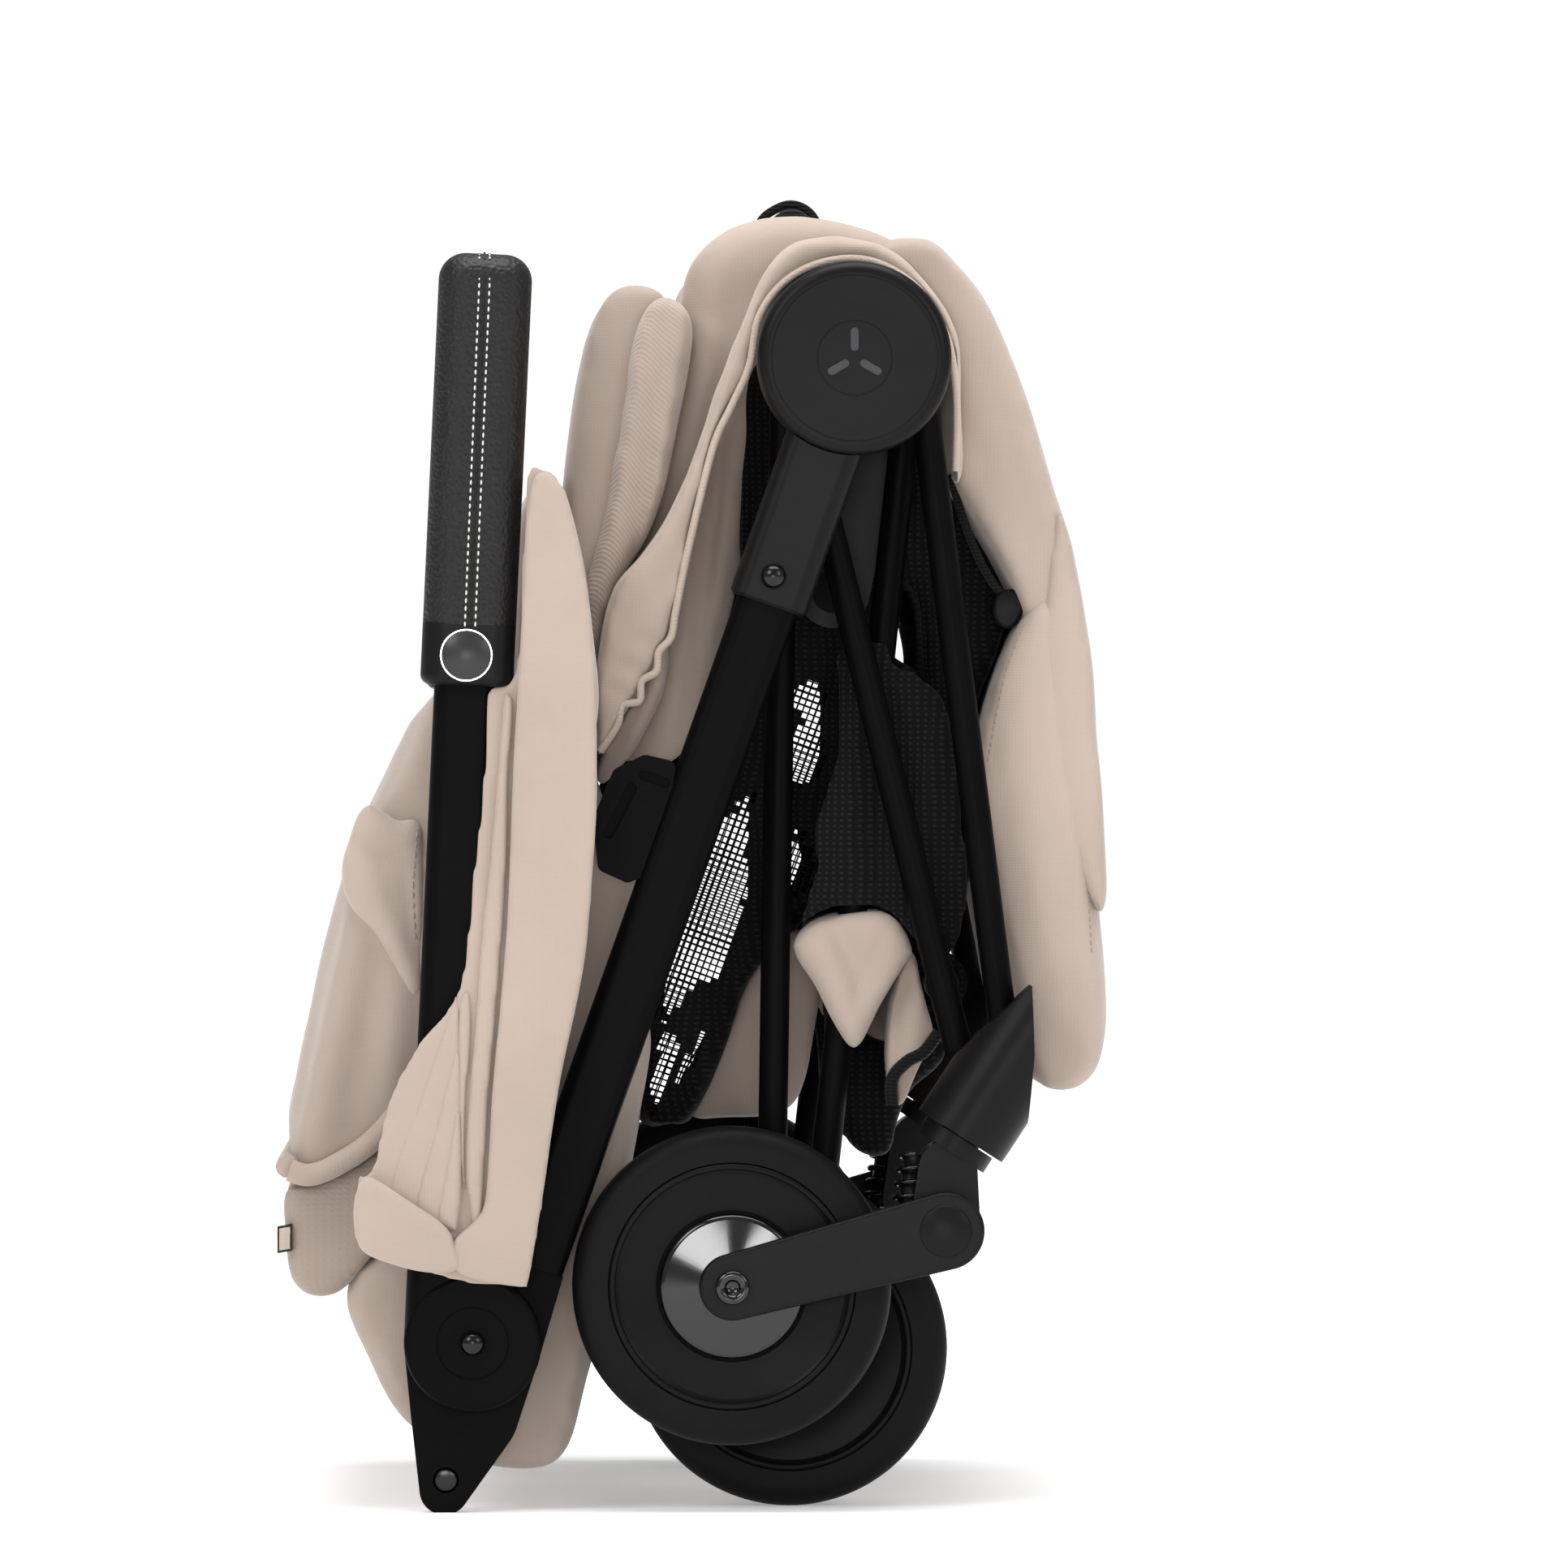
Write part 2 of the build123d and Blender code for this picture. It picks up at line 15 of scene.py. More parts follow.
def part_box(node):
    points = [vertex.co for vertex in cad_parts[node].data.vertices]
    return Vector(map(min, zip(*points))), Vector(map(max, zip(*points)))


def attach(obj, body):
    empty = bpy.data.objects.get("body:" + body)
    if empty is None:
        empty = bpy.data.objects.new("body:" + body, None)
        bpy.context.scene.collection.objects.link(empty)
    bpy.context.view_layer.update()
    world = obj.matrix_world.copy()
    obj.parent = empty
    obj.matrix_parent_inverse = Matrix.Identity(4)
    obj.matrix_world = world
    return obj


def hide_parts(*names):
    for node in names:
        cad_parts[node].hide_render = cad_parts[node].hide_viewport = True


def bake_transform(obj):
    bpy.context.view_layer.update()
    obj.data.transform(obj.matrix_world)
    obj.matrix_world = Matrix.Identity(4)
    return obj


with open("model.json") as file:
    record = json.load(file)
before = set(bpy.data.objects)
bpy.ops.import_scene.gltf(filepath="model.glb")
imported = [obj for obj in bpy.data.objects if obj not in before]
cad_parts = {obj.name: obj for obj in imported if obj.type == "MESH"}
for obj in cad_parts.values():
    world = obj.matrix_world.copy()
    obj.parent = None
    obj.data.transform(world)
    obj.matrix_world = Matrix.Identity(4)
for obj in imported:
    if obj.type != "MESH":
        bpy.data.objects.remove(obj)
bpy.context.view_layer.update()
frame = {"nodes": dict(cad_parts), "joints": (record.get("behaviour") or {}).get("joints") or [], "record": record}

bl_info = {
    "name": "Folded Stroller Looks",
    "version": (1, 0, 0),
    "blender": (4, 5, 0),
    "location": "3D View > Sidebar > Stroller",
    "description": "Soft goods, trim, finishes and a studio for a folded stroller",
    "category": "Object",
}

MM = 0.001
JOINTS = {joint["name"]: joint for joint in frame["joints"]}
ELBOW = Vector(JOINTS["handle_fold"]["pos_m"])
FRONT_AXLE = Vector(JOINTS["front_wheel_spin_right"]["pos_m"])
REAR_AXLE = Vector(JOINTS["rear_wheel_spin_right"]["pos_m"])
ARM_PIVOT = Vector(JOINTS["suspension_right"]["pos_m"])
SIDES = {"right": -1, "left": 1}


# --- settings ---------------------------------------------------------------------------------------
class StrollerColours(bpy.types.PropertyGroup):
    fabric: FloatVectorProperty(
        name="Fabric", description="Main cloth", subtype="COLOR", size=3, min=0, max=1,
        default=(0.367, 0.297, 0.249))
    ribbed: FloatVectorProperty(
        name="Ribbed cloth", description="Inner backrest cloth", subtype="COLOR", size=3, min=0, max=1,
        default=(0.355, 0.288, 0.24))
    black: FloatVectorProperty(
        name="Frame black", description="Powder coat and plastics", subtype="COLOR", size=3, min=0,
        max=1, default=(0.005, 0.005, 0.0053))
    thread: FloatVectorProperty(
        name="Grip thread", description="Stitching on the leather", subtype="COLOR", size=3, min=0,
        max=1, default=(0.62, 0.60, 0.56))


class StrollerSizes(bpy.types.PropertyGroup):
    voxel: FloatProperty(
        name="Cloth grid", description="Grid of the larger soft forms", unit="LENGTH", default=0.0045,
        min=0.002, max=0.02)
    net_pitch: FloatProperty(
        name="Net pitch", description="Distance between holes of the netting", unit="LENGTH",
        default=0.0027, min=0.002, max=0.02)
    stitch: FloatProperty(
        name="Stitch length", description="Length of one stitch", unit="LENGTH", default=0.0032,
        min=0.001, max=0.01)


def colours():
    return bpy.context.scene.stroller_colours


def sizes():
    return bpy.context.scene.stroller_sizes


# --- materials --------------------------------------------------------------------------------------
def new_material(name, roughness, **inputs):
    """A Principled material; returns it with its node tree, shader and an Object-coordinate socket."""
    material = bpy.data.materials.new(name)
    material.use_nodes = True
    tree = material.node_tree
    shader = tree.nodes["Principled BSDF"]
    shader.inputs["Roughness"].default_value = roughness
    for key, value in inputs.items():
        shader.inputs[key.replace("_", " ")].default_value = value
    coords = tree.nodes.new("ShaderNodeTexCoord").outputs["Object"]
    return material, tree, shader, coords


def noise_node(tree, coords, scale, detail=3.0, roughness=0.5):
    node = tree.nodes.new("ShaderNodeTexNoise")
    node.inputs["Scale"].default_value = scale
    node.inputs["Detail"].default_value = detail
    node.inputs["Roughness"].default_value = roughness
    tree.links.new(coords, node.inputs["Vector"])
    return node.outputs["Fac"]


def ramp_node(tree, factor, low, high, start=0.3, end=0.7):
    """A colour ramp between two colours."""
    node = tree.nodes.new("ShaderNodeValToRGB")
    node.color_ramp.elements[0].position = start
    node.color_ramp.elements[1].position = end
    node.color_ramp.elements[0].color = (*low, 1)
    node.color_ramp.elements[1].color = (*high, 1)
    tree.links.new(factor, node.inputs["Fac"])
    return node.outputs["Color"]


def range_node(tree, factor, low, high):
    node = tree.nodes.new("ShaderNodeMapRange")
    node.inputs["To Min"].default_value = low
    node.inputs["To Max"].default_value = high
    tree.links.new(factor, node.inputs["Value"])
    return node.outputs["Result"]


def bump_chain(tree, shader, layers):
    """Stacks bump layers of (height socket, distance in metres, strength)."""
    last = None
    for height, distance, strength in layers:
        bump = tree.nodes.new("ShaderNodeBump")
        bump.inputs["Distance"].default_value = distance
        bump.inputs["Strength"].default_value = strength
        tree.links.new(height, bump.inputs["Height"])
        if last is not None:
            tree.links.new(last, bump.inputs["Normal"])
        last = bump.outputs["Normal"]
    tree.links.new(last, shader.inputs["Normal"])


def scaled(colour, amount):
    return tuple(min(1.0, c * amount) for c in colour)


def weave_height(tree, coords, pitch):
    """Two crossed thread waves, as a plain weave, turned so that they show on every upright face."""
    turn = tree.nodes.new("ShaderNodeMapping")
    turn.inputs["Rotation"].default_value = (0, 0, math.radians(45))
    tree.links.new(coords, turn.inputs["Vector"])
    waves = []
    for direction in ("X", "Z"):
        wave = tree.nodes.new("ShaderNodeTexWave")
        wave.bands_direction = direction
        wave.inputs["Scale"].default_value = 0.314 / pitch
        wave.inputs["Distortion"].default_value = 1.2
        wave.inputs["Detail"].default_value = 2.0
        tree.links.new(turn.outputs["Vector"], wave.inputs["Vector"])
        waves.append(wave.outputs["Fac"])
    add = tree.nodes.new("ShaderNodeMath")
    add.operation = "MULTIPLY"
    tree.links.new(waves[0], add.inputs[0])
    tree.links.new(waves[1], add.inputs[1])
    return add.outputs[0]


def fabric_material(name, colour, pitch=0.0011, depth=0.00012, mottle=0.06):
    """Woven cloth: fine weave, soft pucker and slight shade variation."""
    material, tree, shader, coords = new_material(
        name, 0.88, Sheen_Weight=0.25, Sheen_Roughness=0.5, Specular_IOR_Level=0.25)
    broad = noise_node(tree, coords, 14, 4)
    tree.links.new(
        ramp_node(tree, broad, scaled(colour, 1 - mottle), scaled(colour, 1 + mottle)),
        shader.inputs["Base Color"])
    pucker = noise_node(tree, coords, 55, 4, 0.6)
    bump_chain(tree, shader, [
        (pucker, 0.0012, 0.25), (weave_height(tree, coords, pitch), depth, 0.5)])
    return material


def ribbed_material(name, colour):
    """Corded cloth with fine ribs running up the backrest."""
    material, tree, shader, coords = new_material(
        name, 0.92, Sheen_Weight=0.3, Sheen_Roughness=0.6, Specular_IOR_Level=0.2)
    wave = tree.nodes.new("ShaderNodeTexWave")
    wave.bands_direction = "DIAGONAL"
    wave.inputs["Scale"].default_value = 260
    wave.inputs["Distortion"].default_value = 0.6
    tree.links.new(coords, wave.inputs["Vector"])
    tree.links.new(
        ramp_node(tree, wave.outputs["Fac"], scaled(colour, 0.93), scaled(colour, 1.02)),
        shader.inputs["Base Color"])
    bump_chain(tree, shader, [
        (noise_node(tree, coords, 60, 3), 0.001, 0.2), (wave.outputs["Fac"], 0.0003, 0.5)])
    return material


def leather_material(name, colour):
    """Pebbled leather."""
    material, tree, shader, coords = new_material(name, 0.42, Specular_IOR_Level=0.28)
    cells = tree.nodes.new("ShaderNodeTexVoronoi")
    cells.feature = "SMOOTH_F1"
    cells.inputs["Scale"].default_value = 620
    cells.inputs["Randomness"].default_value = 1.0
    tree.links.new(coords, cells.inputs["Vector"])
    tree.links.new(
        ramp_node(tree, noise_node(tree, coords, 40), scaled(colour, 0.8), scaled(colour, 1.25)),
        shader.inputs["Base Color"])
    tree.links.new(
        range_node(tree, noise_node(tree, coords, 300), 0.36, 0.56), shader.inputs["Roughness"])
    bump_chain(tree, shader, [
        (noise_node(tree, coords, 160, 4), 0.0006, 0.35), (cells.outputs["Distance"], 0.0007, 0.75)])
    return material


def plastic_material(name, colour, roughness, grain=0.00005, shine=0.16):
    """Moulded or powder-coated surface with a fine grain and faint handling marks."""
    material, tree, shader, coords = new_material(name, roughness, Specular_IOR_Level=shine)
    tree.links.new(
        ramp_node(tree, noise_node(tree, coords, 30, 4), scaled(colour, 0.88), scaled(colour, 1.12)),
        shader.inputs["Base Color"])
    tree.links.new(
        range_node(tree, noise_node(tree, coords, 22, 5), roughness - 0.05, roughness + 0.06),
        shader.inputs["Roughness"])
    bump_chain(tree, shader, [(noise_node(tree, coords, 1800, 2), grain, 0.6)])
    return material


def metal_material(name, colour, roughness):
    material, tree, shader, coords = new_material(name, roughness, Metallic=1.0)
    shader.inputs["Base Color"].default_value = (*colour, 1)
    tree.links.new(
        range_node(tree, noise_node(tree, coords, 90, 4), roughness - 0.03, roughness + 0.05),
        shader.inputs["Roughness"])
    return material


def webbing_material(name, colour):
    """Ribbed polyester webbing."""
    material, tree, shader, coords = new_material(
        name, 0.7, Sheen_Weight=0.06, Sheen_Roughness=0.5, Specular_IOR_Level=0.12)
    wave = tree.nodes.new("ShaderNodeTexWave")
    wave.bands_direction = "Z"
    wave.inputs["Scale"].default_value = 210
    wave.inputs["Distortion"].default_value = 0.4
    tree.links.new(coords, wave.inputs["Vector"])
    tree.links.new(
        ramp_node(tree, wave.outputs["Fac"], scaled(colour, 0.6), scaled(colour, 1.5)),
        shader.inputs["Base Color"])
    bump_chain(tree, shader, [(wave.outputs["Fac"], 0.0004, 0.8)])
    return material


def net_material(name, colour):
    """Fine black netting: a grid of small raised loops."""
    material, tree, shader, coords = new_material(
        name, 0.75, Sheen_Weight=0.05, Sheen_Roughness=0.5, Specular_IOR_Level=0.1)
    loops = weave_height(tree, coords, 0.0024)
    tree.links.new(
        ramp_node(tree, loops, scaled(colour, 0.35), scaled(colour, 2.6), 0.35, 0.75),
        shader.inputs["Base Color"])
    bump_chain(tree, shader, [
        (noise_node(tree, coords, 70, 3), 0.001, 0.3), (loops, 0.0006, 0.8)])
    return material


MATERIALS = {}
# Nodes whose finish differs from the one their slot names.
OWN_FINISHES = {
    "hub_emblems": "emblem_metal", "canopy_clips": "black_tube", "elbow_bracket_right": "black_tube",
    "elbow_bracket_left": "black_tube"}


def build_materials():
    """Makes every material once, from the colours in the settings."""
    c = colours()
    black = tuple(c.black)
    fabric = tuple(c.fabric)
    MATERIALS.update({
        "beige_fabric": fabric_material("beige_fabric", fabric),
        # Painted shade: the main fabric darkened to 0.885 for the backrest paddle, canopy back, rear cloth and
        # basket back, which stand in shade.
        "shade_fabric": fabric_material("shade_fabric", scaled(fabric, 0.885), mottle=0.04),
        # Visor cloth: its own coarser weave and stronger mottle, and darkened to 0.82 as painted shade.
        "visor_painted_shade_fabric": fabric_material("visor_painted_shade_fabric", scaled(fabric, 0.82), 0.0022, 0.0003, 0.09),
        "binding_fabric": fabric_material("binding_fabric", scaled(fabric, 1.16), 0.0016, 0.0003),
        "ribbed_fabric": ribbed_material("ribbed_fabric", tuple(c.ribbed)),
        "black_leather": leather_material("black_leather", scaled(black, 0.9)),
        "black_tube": plastic_material("black_tube", scaled(black, 0.35), 0.42, shine=0.04),
        "black_plastic": plastic_material("black_plastic", scaled(black, 0.9), 0.36, shine=0.11),
        "rim_plastic": plastic_material("rim_plastic", scaled(black, 0.8), 0.34, shine=0.08),
        "gloss_black": plastic_material("gloss_black", scaled(black, 0.3), 0.07, 0.000002, 0.5),
        "badge_face": plastic_material("badge_face", scaled(black, 4.5), 0.3, 0.00002, 0.3),
        "black_steel": plastic_material("black_steel", scaled(black, 0.6), 0.16, 0.00001, 0.3),
        "tyre": plastic_material("tyre", scaled(black, 0.8), 0.5, 0.0001, 0.08),
        "chrome": metal_material("chrome", (0.6, 0.6, 0.62), 0.16),
        "emblem_metal": metal_material("emblem_metal", (0.035, 0.035, 0.037), 0.3),
        "black_mesh": net_material("black_mesh", scaled(black, 0.8)),
        "webbing": webbing_material("webbing", scaled(black, 1.1)),
        "thread": fabric_material("thread", tuple(c.thread), 0.0005, 0.0001),
        "seam_thread": fabric_material("seam_thread", scaled(fabric, 0.78), 0.0005, 0.0001),
    })


# --- mesh helpers -----------------------------------------------------------------------------------
def to_object(name, bm, material):
    """A smooth-shaded object from a bmesh."""
    mesh = bpy.data.meshes.new(name)
    bm.to_mesh(mesh)
    bm.free()
    obj = bpy.data.objects.new(name, mesh)
    bpy.context.collection.objects.link(obj)
    dress(obj, material)
    return obj


def dress(obj, material):
    obj.data.materials.clear()
    obj.data.materials.append(MATERIALS[material])
    obj.data.polygons.foreach_set("use_smooth", [True] * len(obj.data.polygons))


def place(obj, body, replaced=()):
    """Puts a finished piece on its body."""
    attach(obj, body)
    if replaced:
        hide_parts(*replaced)
    return obj


def place_padded(obj, body, replaced=()):
    """Puts a finished piece on its body."""
    place(obj, body, replaced)


def bake(obj):
    """Applies an object's modifiers."""
    graph = bpy.context.evaluated_depsgraph_get()
    mesh = bpy.data.meshes.new_from_object(obj.evaluated_get(graph))
    obj.modifiers.clear()
    obj.data = mesh


def curved(points, steps=5, closed=True):
    """A smooth Catmull-Rom line through points, as vectors in metres."""
    given = [Vector(p) * MM for p in points]
    count = len(given)
    spans = count if closed else count - 1
    line = []
    for i in range(spans):
        if closed:
            a, b, c, d = (given[(i + k) % count] for k in (-1, 0, 1, 2))
        else:
            a, b, c, d = (given[min(max(i + k, 0), count - 1)] for k in (-1, 0, 1, 2))
        for s in range(steps):
            t = s / steps
            line.append(0.5 * (2 * b + (c - a) * t + (2 * a - 5 * b + 4 * c - d) * t ** 2
                               + (3 * b - a - 3 * c + d) * t ** 3))
    if not closed:
        line.append(given[-1])
    return line


def between(sign, near, far):
    """The lower and upper Y of a piece that reaches from near to far on one side."""
    return sorted((sign * near, sign * far))


def slab(points, inner, outer, edge=0.004, steps=5):
    """A closed form: a smooth side-view outline between two depths, with rounded rims."""
    bm = bmesh.new()
    ring = [bm.verts.new((p.x, inner, p.y)) for p in curved(points, steps)]
    face = bm.faces.new(ring)
    made = bmesh.ops.extrude_face_region(bm, geom=[face])
    moved = [g for g in made["geom"] if isinstance(g, bmesh.types.BMVert)]
    bmesh.ops.translate(bm, vec=(0, outer - inner, 0), verts=moved)
    bmesh.ops.recalc_face_normals(bm, faces=bm.faces)
    if edge:
        rims = [e for e in bm.edges if abs(e.verts[0].co.y - e.verts[1].co.y) < 1e-6]
        bmesh.ops.bevel(bm, geom=rims, offset=edge, offset_type="OFFSET", segments=3, profile=0.5,
                        affect="EDGES", clamp_overlap=True, material=-1)
    return bm


def remesh(obj, voxel, smooth=3):
    """An even grid over a closed form."""
    modifier = obj.modifiers.new("grid", "REMESH")
    modifier.mode = "VOXEL"
    modifier.voxel_size = voxel
    bake(obj)
    relax(obj, smooth)


def relax(obj, times, factor=0.5):
    bm = bmesh.new()
    bm.from_mesh(obj.data)
    for _ in range(times):
        bmesh.ops.smooth_vert(bm, verts=bm.verts, factor=factor, use_axis_x=True, use_axis_y=True,
                              use_axis_z=True)
    bm.to_mesh(obj.data)
    bm.free()


def swell(obj, cap, pressure=4.0, frames=20):
    """Swells a closed form with the cloth solver, moving no point further than cap."""
    start = [v.co.copy() for v in obj.data.vertices]
    cloth = obj.modifiers.new("cloth", "CLOTH")
    cloth.settings.use_pressure = True
    cloth.settings.uniform_pressure_force = pressure
    cloth.settings.effector_weights.gravity = 0
    cloth.settings.quality = 4
    cloth.point_cache.frame_start = 1
    cloth.point_cache.frame_end = frames
    scene = bpy.context.scene
    for step in range(1, frames + 1):
        scene.frame_set(step)
    bake(obj)
    scene.frame_set(1)
    for vertex, rest in zip(obj.data.vertices, start):
        travel = vertex.co - rest
        if travel.length > cap:
            vertex.co = rest + travel * (cap / travel.length)


def distance_to(x, z, a, b):
    """Distance from a side-view point to a segment, and how far along the segment it lies."""
    ax, az, bx, bz = a[0] * MM, a[1] * MM, b[0] * MM, b[1] * MM
    length = (bx - ax) ** 2 + (bz - az) ** 2
    t = max(0.0, min(1.0, ((x - ax) * (bx - ax) + (z - az) * (bz - az)) / length))
    return math.hypot(x - ax - t * (bx - ax), z - az - t * (bz - az)), t


def folds(obj, lines, outer_only=False):
    """Raises (or sinks) the side faces along lines of (start, end, width, height), in millimetres."""
    for vertex in obj.data.vertices:
        facing = abs(vertex.normal.y)
        if outer_only and vertex.normal.y * vertex.co.y < 0:
            continue
        shift = 0.0
        for a, b, width, height in lines:
            gap, t = distance_to(vertex.co.x, vertex.co.z, a, b)
            taper = math.sin(math.pi * (0.12 + 0.76 * t)) ** 0.5
            shift += height * MM * taper * math.exp(-((gap / (width * MM)) ** 2))
        vertex.co = vertex.co + vertex.normal * shift * facing
    obj.data.update()


def wrinkle(obj, size, height, stretch=(1.0, 1.0, 1.0), seed=0.0):
    """Soft uneven creases over the whole surface."""
    offset = Vector((seed, seed * 1.7, seed * 0.6))
    moves = []
    for vertex in obj.data.vertices:
        p = Vector((vertex.co.x * stretch[0], vertex.co.y * stretch[1], vertex.co.z * stretch[2]))
        value = noise.noise(p / size + offset) + 0.5 * noise.noise(p * 2.1 / size + offset)
        moves.append(vertex.normal * value * height)
    for vertex, move in zip(obj.data.vertices, moves):
        vertex.co = vertex.co + move
    obj.data.update()


def refine(obj, levels=1):
    """Subdivision that stays live, the same in view and render."""
    modifier = obj.modifiers.new("refine", "SUBSURF")
    modifier.levels = levels
    modifier.render_levels = levels


def soft_form(name, points, inner, outer, material="beige_fabric", voxel=None, edge=0.006, lines=(),
              creases=None, cap=None, relaxed=3, outer_only=False):
    """A stuffed or folded cloth form, ready to be put on its body."""
    obj = to_object(name, slab(points, inner, outer, edge), material)
    remesh(obj, voxel or sizes().voxel, relaxed)
    if cap:
        swell(obj, cap)
    if lines:
        folds(obj, lines, outer_only)
    if creases:
        wrinkle(obj, *creases)
    relax(obj, 1)
    dress(obj, material)
    refine(obj)
    return obj


def tube(name, line, radius, material, sides=10, closed=False):
    """A round cord along a line of vectors, as a mesh."""
    curve = bpy.data.curves.new(name, "CURVE")
    curve.dimensions = "3D"
    curve.bevel_depth = radius
    curve.bevel_resolution = max(1, sides // 4 - 1)
    curve.use_fill_caps = True
    spline = curve.splines.new("POLY")
    spline.points.add(len(line) - 1)
    for point, place_at in zip(spline.points, line):
        point.co = (*place_at, 1)
    spline.use_cyclic_u = closed
    maker = bpy.data.objects.new(name + "_path", curve)
    bpy.context.collection.objects.link(maker)
    graph = bpy.context.evaluated_depsgraph_get()
    mesh = bpy.data.meshes.new_from_object(maker.evaluated_get(graph))
    bpy.data.objects.remove(maker)
    obj = bpy.data.objects.new(name, mesh)
    bpy.context.collection.objects.link(obj)
    dress(obj, material)
    return obj


def onto(obj, line, side, lift):
    """Lays a side-view line on an object's outer side face."""
    found = []
    graph = bpy.context.evaluated_depsgraph_get()
    target = obj.evaluated_get(graph)
    for p in line:
        hit, where, normal, _ = target.ray_cast(Vector((p.x, side * 0.4, p.y)), Vector((0, -side, 0)))
        if hit:
            found.append(where + normal * lift)
    return found


def join(name, objects, material):
    """Joins mesh objects into one."""
    bm = bmesh.new()
    for obj in objects:
        bm.from_mesh(obj.data)
        bpy.data.objects.remove(obj)
    return to_object(name, bm, material)


def stitched(name, runs, pitch, radius, material):
    """Stitches: a short rounded dash for each pitch along each run of vectors."""
    bm = bmesh.new()
    for run in runs:
        travelled, due = 0.0, 0.0
        for a, b in zip(run, run[1:]):
            span = (b - a).length
            while span > 0 and due <= travelled + span:
                at = a.lerp(b, (due - travelled) / span)
                turn = (b - a).to_track_quat("Z", "Y").to_matrix().to_4x4()
                made = bmesh.ops.create_icosphere(bm, subdivisions=1, radius=radius)
                shape = Matrix.Diagonal((1, 1, pitch * 0.36 / radius, 1))
                bmesh.ops.transform(bm, matrix=Matrix.Translation(at) @ turn @ shape,
                                    verts=made["verts"])
                due += pitch
            travelled += span
    return to_object(name, bm, material)


def turned(profile, centre, axis, steps=64):
    """A solid of revolution from (radius, height) points in millimetres, about an axis."""
    bm = bmesh.new()
    verts = [bm.verts.new((r * MM, 0, h * MM)) for r, h in profile]
    edges = [bm.edges.new(pair) for pair in zip(verts, verts[1:])]
    bmesh.ops.spin(bm, geom=verts + edges, cent=(0, 0, 0), axis=(0, 0, 1), angle=2 * math.pi,
                   steps=steps, use_merge=True)
    bmesh.ops.remove_doubles(bm, verts=bm.verts, dist=1e-6)
    bmesh.ops.recalc_face_normals(bm, faces=bm.faces)
    turn = Vector(axis).to_track_quat("Z", "Y").to_matrix().to_4x4()
    bmesh.ops.transform(bm, matrix=Matrix.Translation(centre) @ turn, verts=bm.verts)
    return bm


# --- operators --------------------------------------------------------------------------------------
class STROLLER_OT_finishes(bpy.types.Operator):
    """Give every frame part its finish"""
    bl_idname = "stroller.finishes"
    bl_label = "Frame Finishes"

    def execute(self, context):
        build_materials()
        slots = {s["node"]: s["material_slot"] for s in frame["record"]["subparts"]}
        for node, obj in frame["nodes"].items():
            for holder in obj.material_slots:
                holder.material = MATERIALS[slots[node]]
        for node, finish in OWN_FINISHES.items():
            for holder in frame["nodes"][node].material_slots:
                holder.material = MATERIALS[finish]
        return {"FINISHED"}


# Turned trim: profiles are (radius, height) in millimetres, and faces lie at these Y in metres.
CAP = [
    (0, 6.3), (7, 6.2), (8, 6.11), (27.2, 4.34), (27.6, 4.3), (28.6, 3.9), (29.4, 3.0), (29.8, 2.0),
    (29.8, -1)]
RIM_RING = [(50.2, 0), (50.2, 2.0), (49.4, 2.8), (48.2, 2.8), (47.4, 2.0), (47.4, 0)]
BOLT = [(0, 1.2), (3.2, 1.2), (3.4, 3.4), (6.2, 3.4), (6.9, 2.6), (6.9, 0), (0, 0)]
BADGE_FACE = [(0, 0.9), (9.8, 0.9), (10.1, 0.6), (10.1, 0), (0, 0)]
RIVET_DOME = [(0, 2.4), (1.4, 2.25), (2.8, 1.75), (3.9, 1.0), (4.7, 0), (0, 0)]
PIVOT_COVER = [(0, 0.5), (10.1, 0.5), (10.6, 0.1), (10.6, -0.6), (11.2, -0.6)]
CAP_FACE, RING_FACE = 0.010, 0.0125
BOLT_Y, BADGE_Y, PIVOT_COVER_Y = 0.2228, 0.2260, 0.2232
# Rivets at the bracket's tip, the hub sleeve and the elbow: x, y, z and how high the dome stands.
RIVETS = (
    (-0.1010, 0.2029, 0.0132, 0.14), (0.0323, 0.2183, 0.3815, 1.0), (ELBOW.x, 0.2211, ELBOW.z, 1.0))


class STROLLER_OT_wheel_trim(bpy.types.Operator):
    """Glossy dished caps, rim rings and axle bolts on the wheels"""
    bl_idname = "stroller.wheel_trim"
    bl_label = "Wheel Trim"

    def execute(self, context):
        def trim(name, profile, x, y, z, finish, body, slot=None, way=1, steps=64):
            solid = turned(profile, (x, y, z), (0, way, 0), steps)
            place(to_object(name, solid, finish), body)

        low, high = (Vector(corner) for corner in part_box("collar_badges"))
        badge = (low + high) / 2
        for side, sign in SIDES.items():
            for end, axle in (("front", FRONT_AXLE), ("rear", REAR_AXLE)):
                y, wheel = sign * abs(axle.y), f"{end}_wheel_{side}"
                trim(f"{end}_wheel_cap_{side}", CAP, axle.x, y + sign * CAP_FACE, axle.z, "gloss_black",
                     wheel, way=sign)
                for where, way in (("outer", sign), ("inner", -sign)):
                    trim(f"{end}_rim_ring_{where}_{side}", RIM_RING, axle.x, y + way * RING_FACE,
                         axle.z, "rim_plastic", wheel, way=way)
            trim(f"axle_bolt_{side}", BOLT, FRONT_AXLE.x, sign * BOLT_Y, FRONT_AXLE.z, "gloss_black",
                 f"suspension_{side}", way=sign, steps=48)
            trim(f"badge_face_{side}", BADGE_FACE, badge.x, sign * BADGE_Y, badge.z, "badge_face",
                 "handle", "gloss_black", sign, 48)
            for x, y, z, rise in RIVETS:
                dome = [(r, h * rise) for r, h in RIVET_DOME]
                trim(f"rivet_dome_{side}", dome, x, sign * y, z, "black_steel", "push_bar", way=sign,
                     steps=40)
            trim(f"arm_pivot_cover_{side}", PIVOT_COVER, ARM_PIVOT.x, sign * PIVOT_COVER_Y, ARM_PIVOT.z,
                 "black_plastic", f"suspension_{side}", way=sign, steps=48)
        return {"FINISHED"}


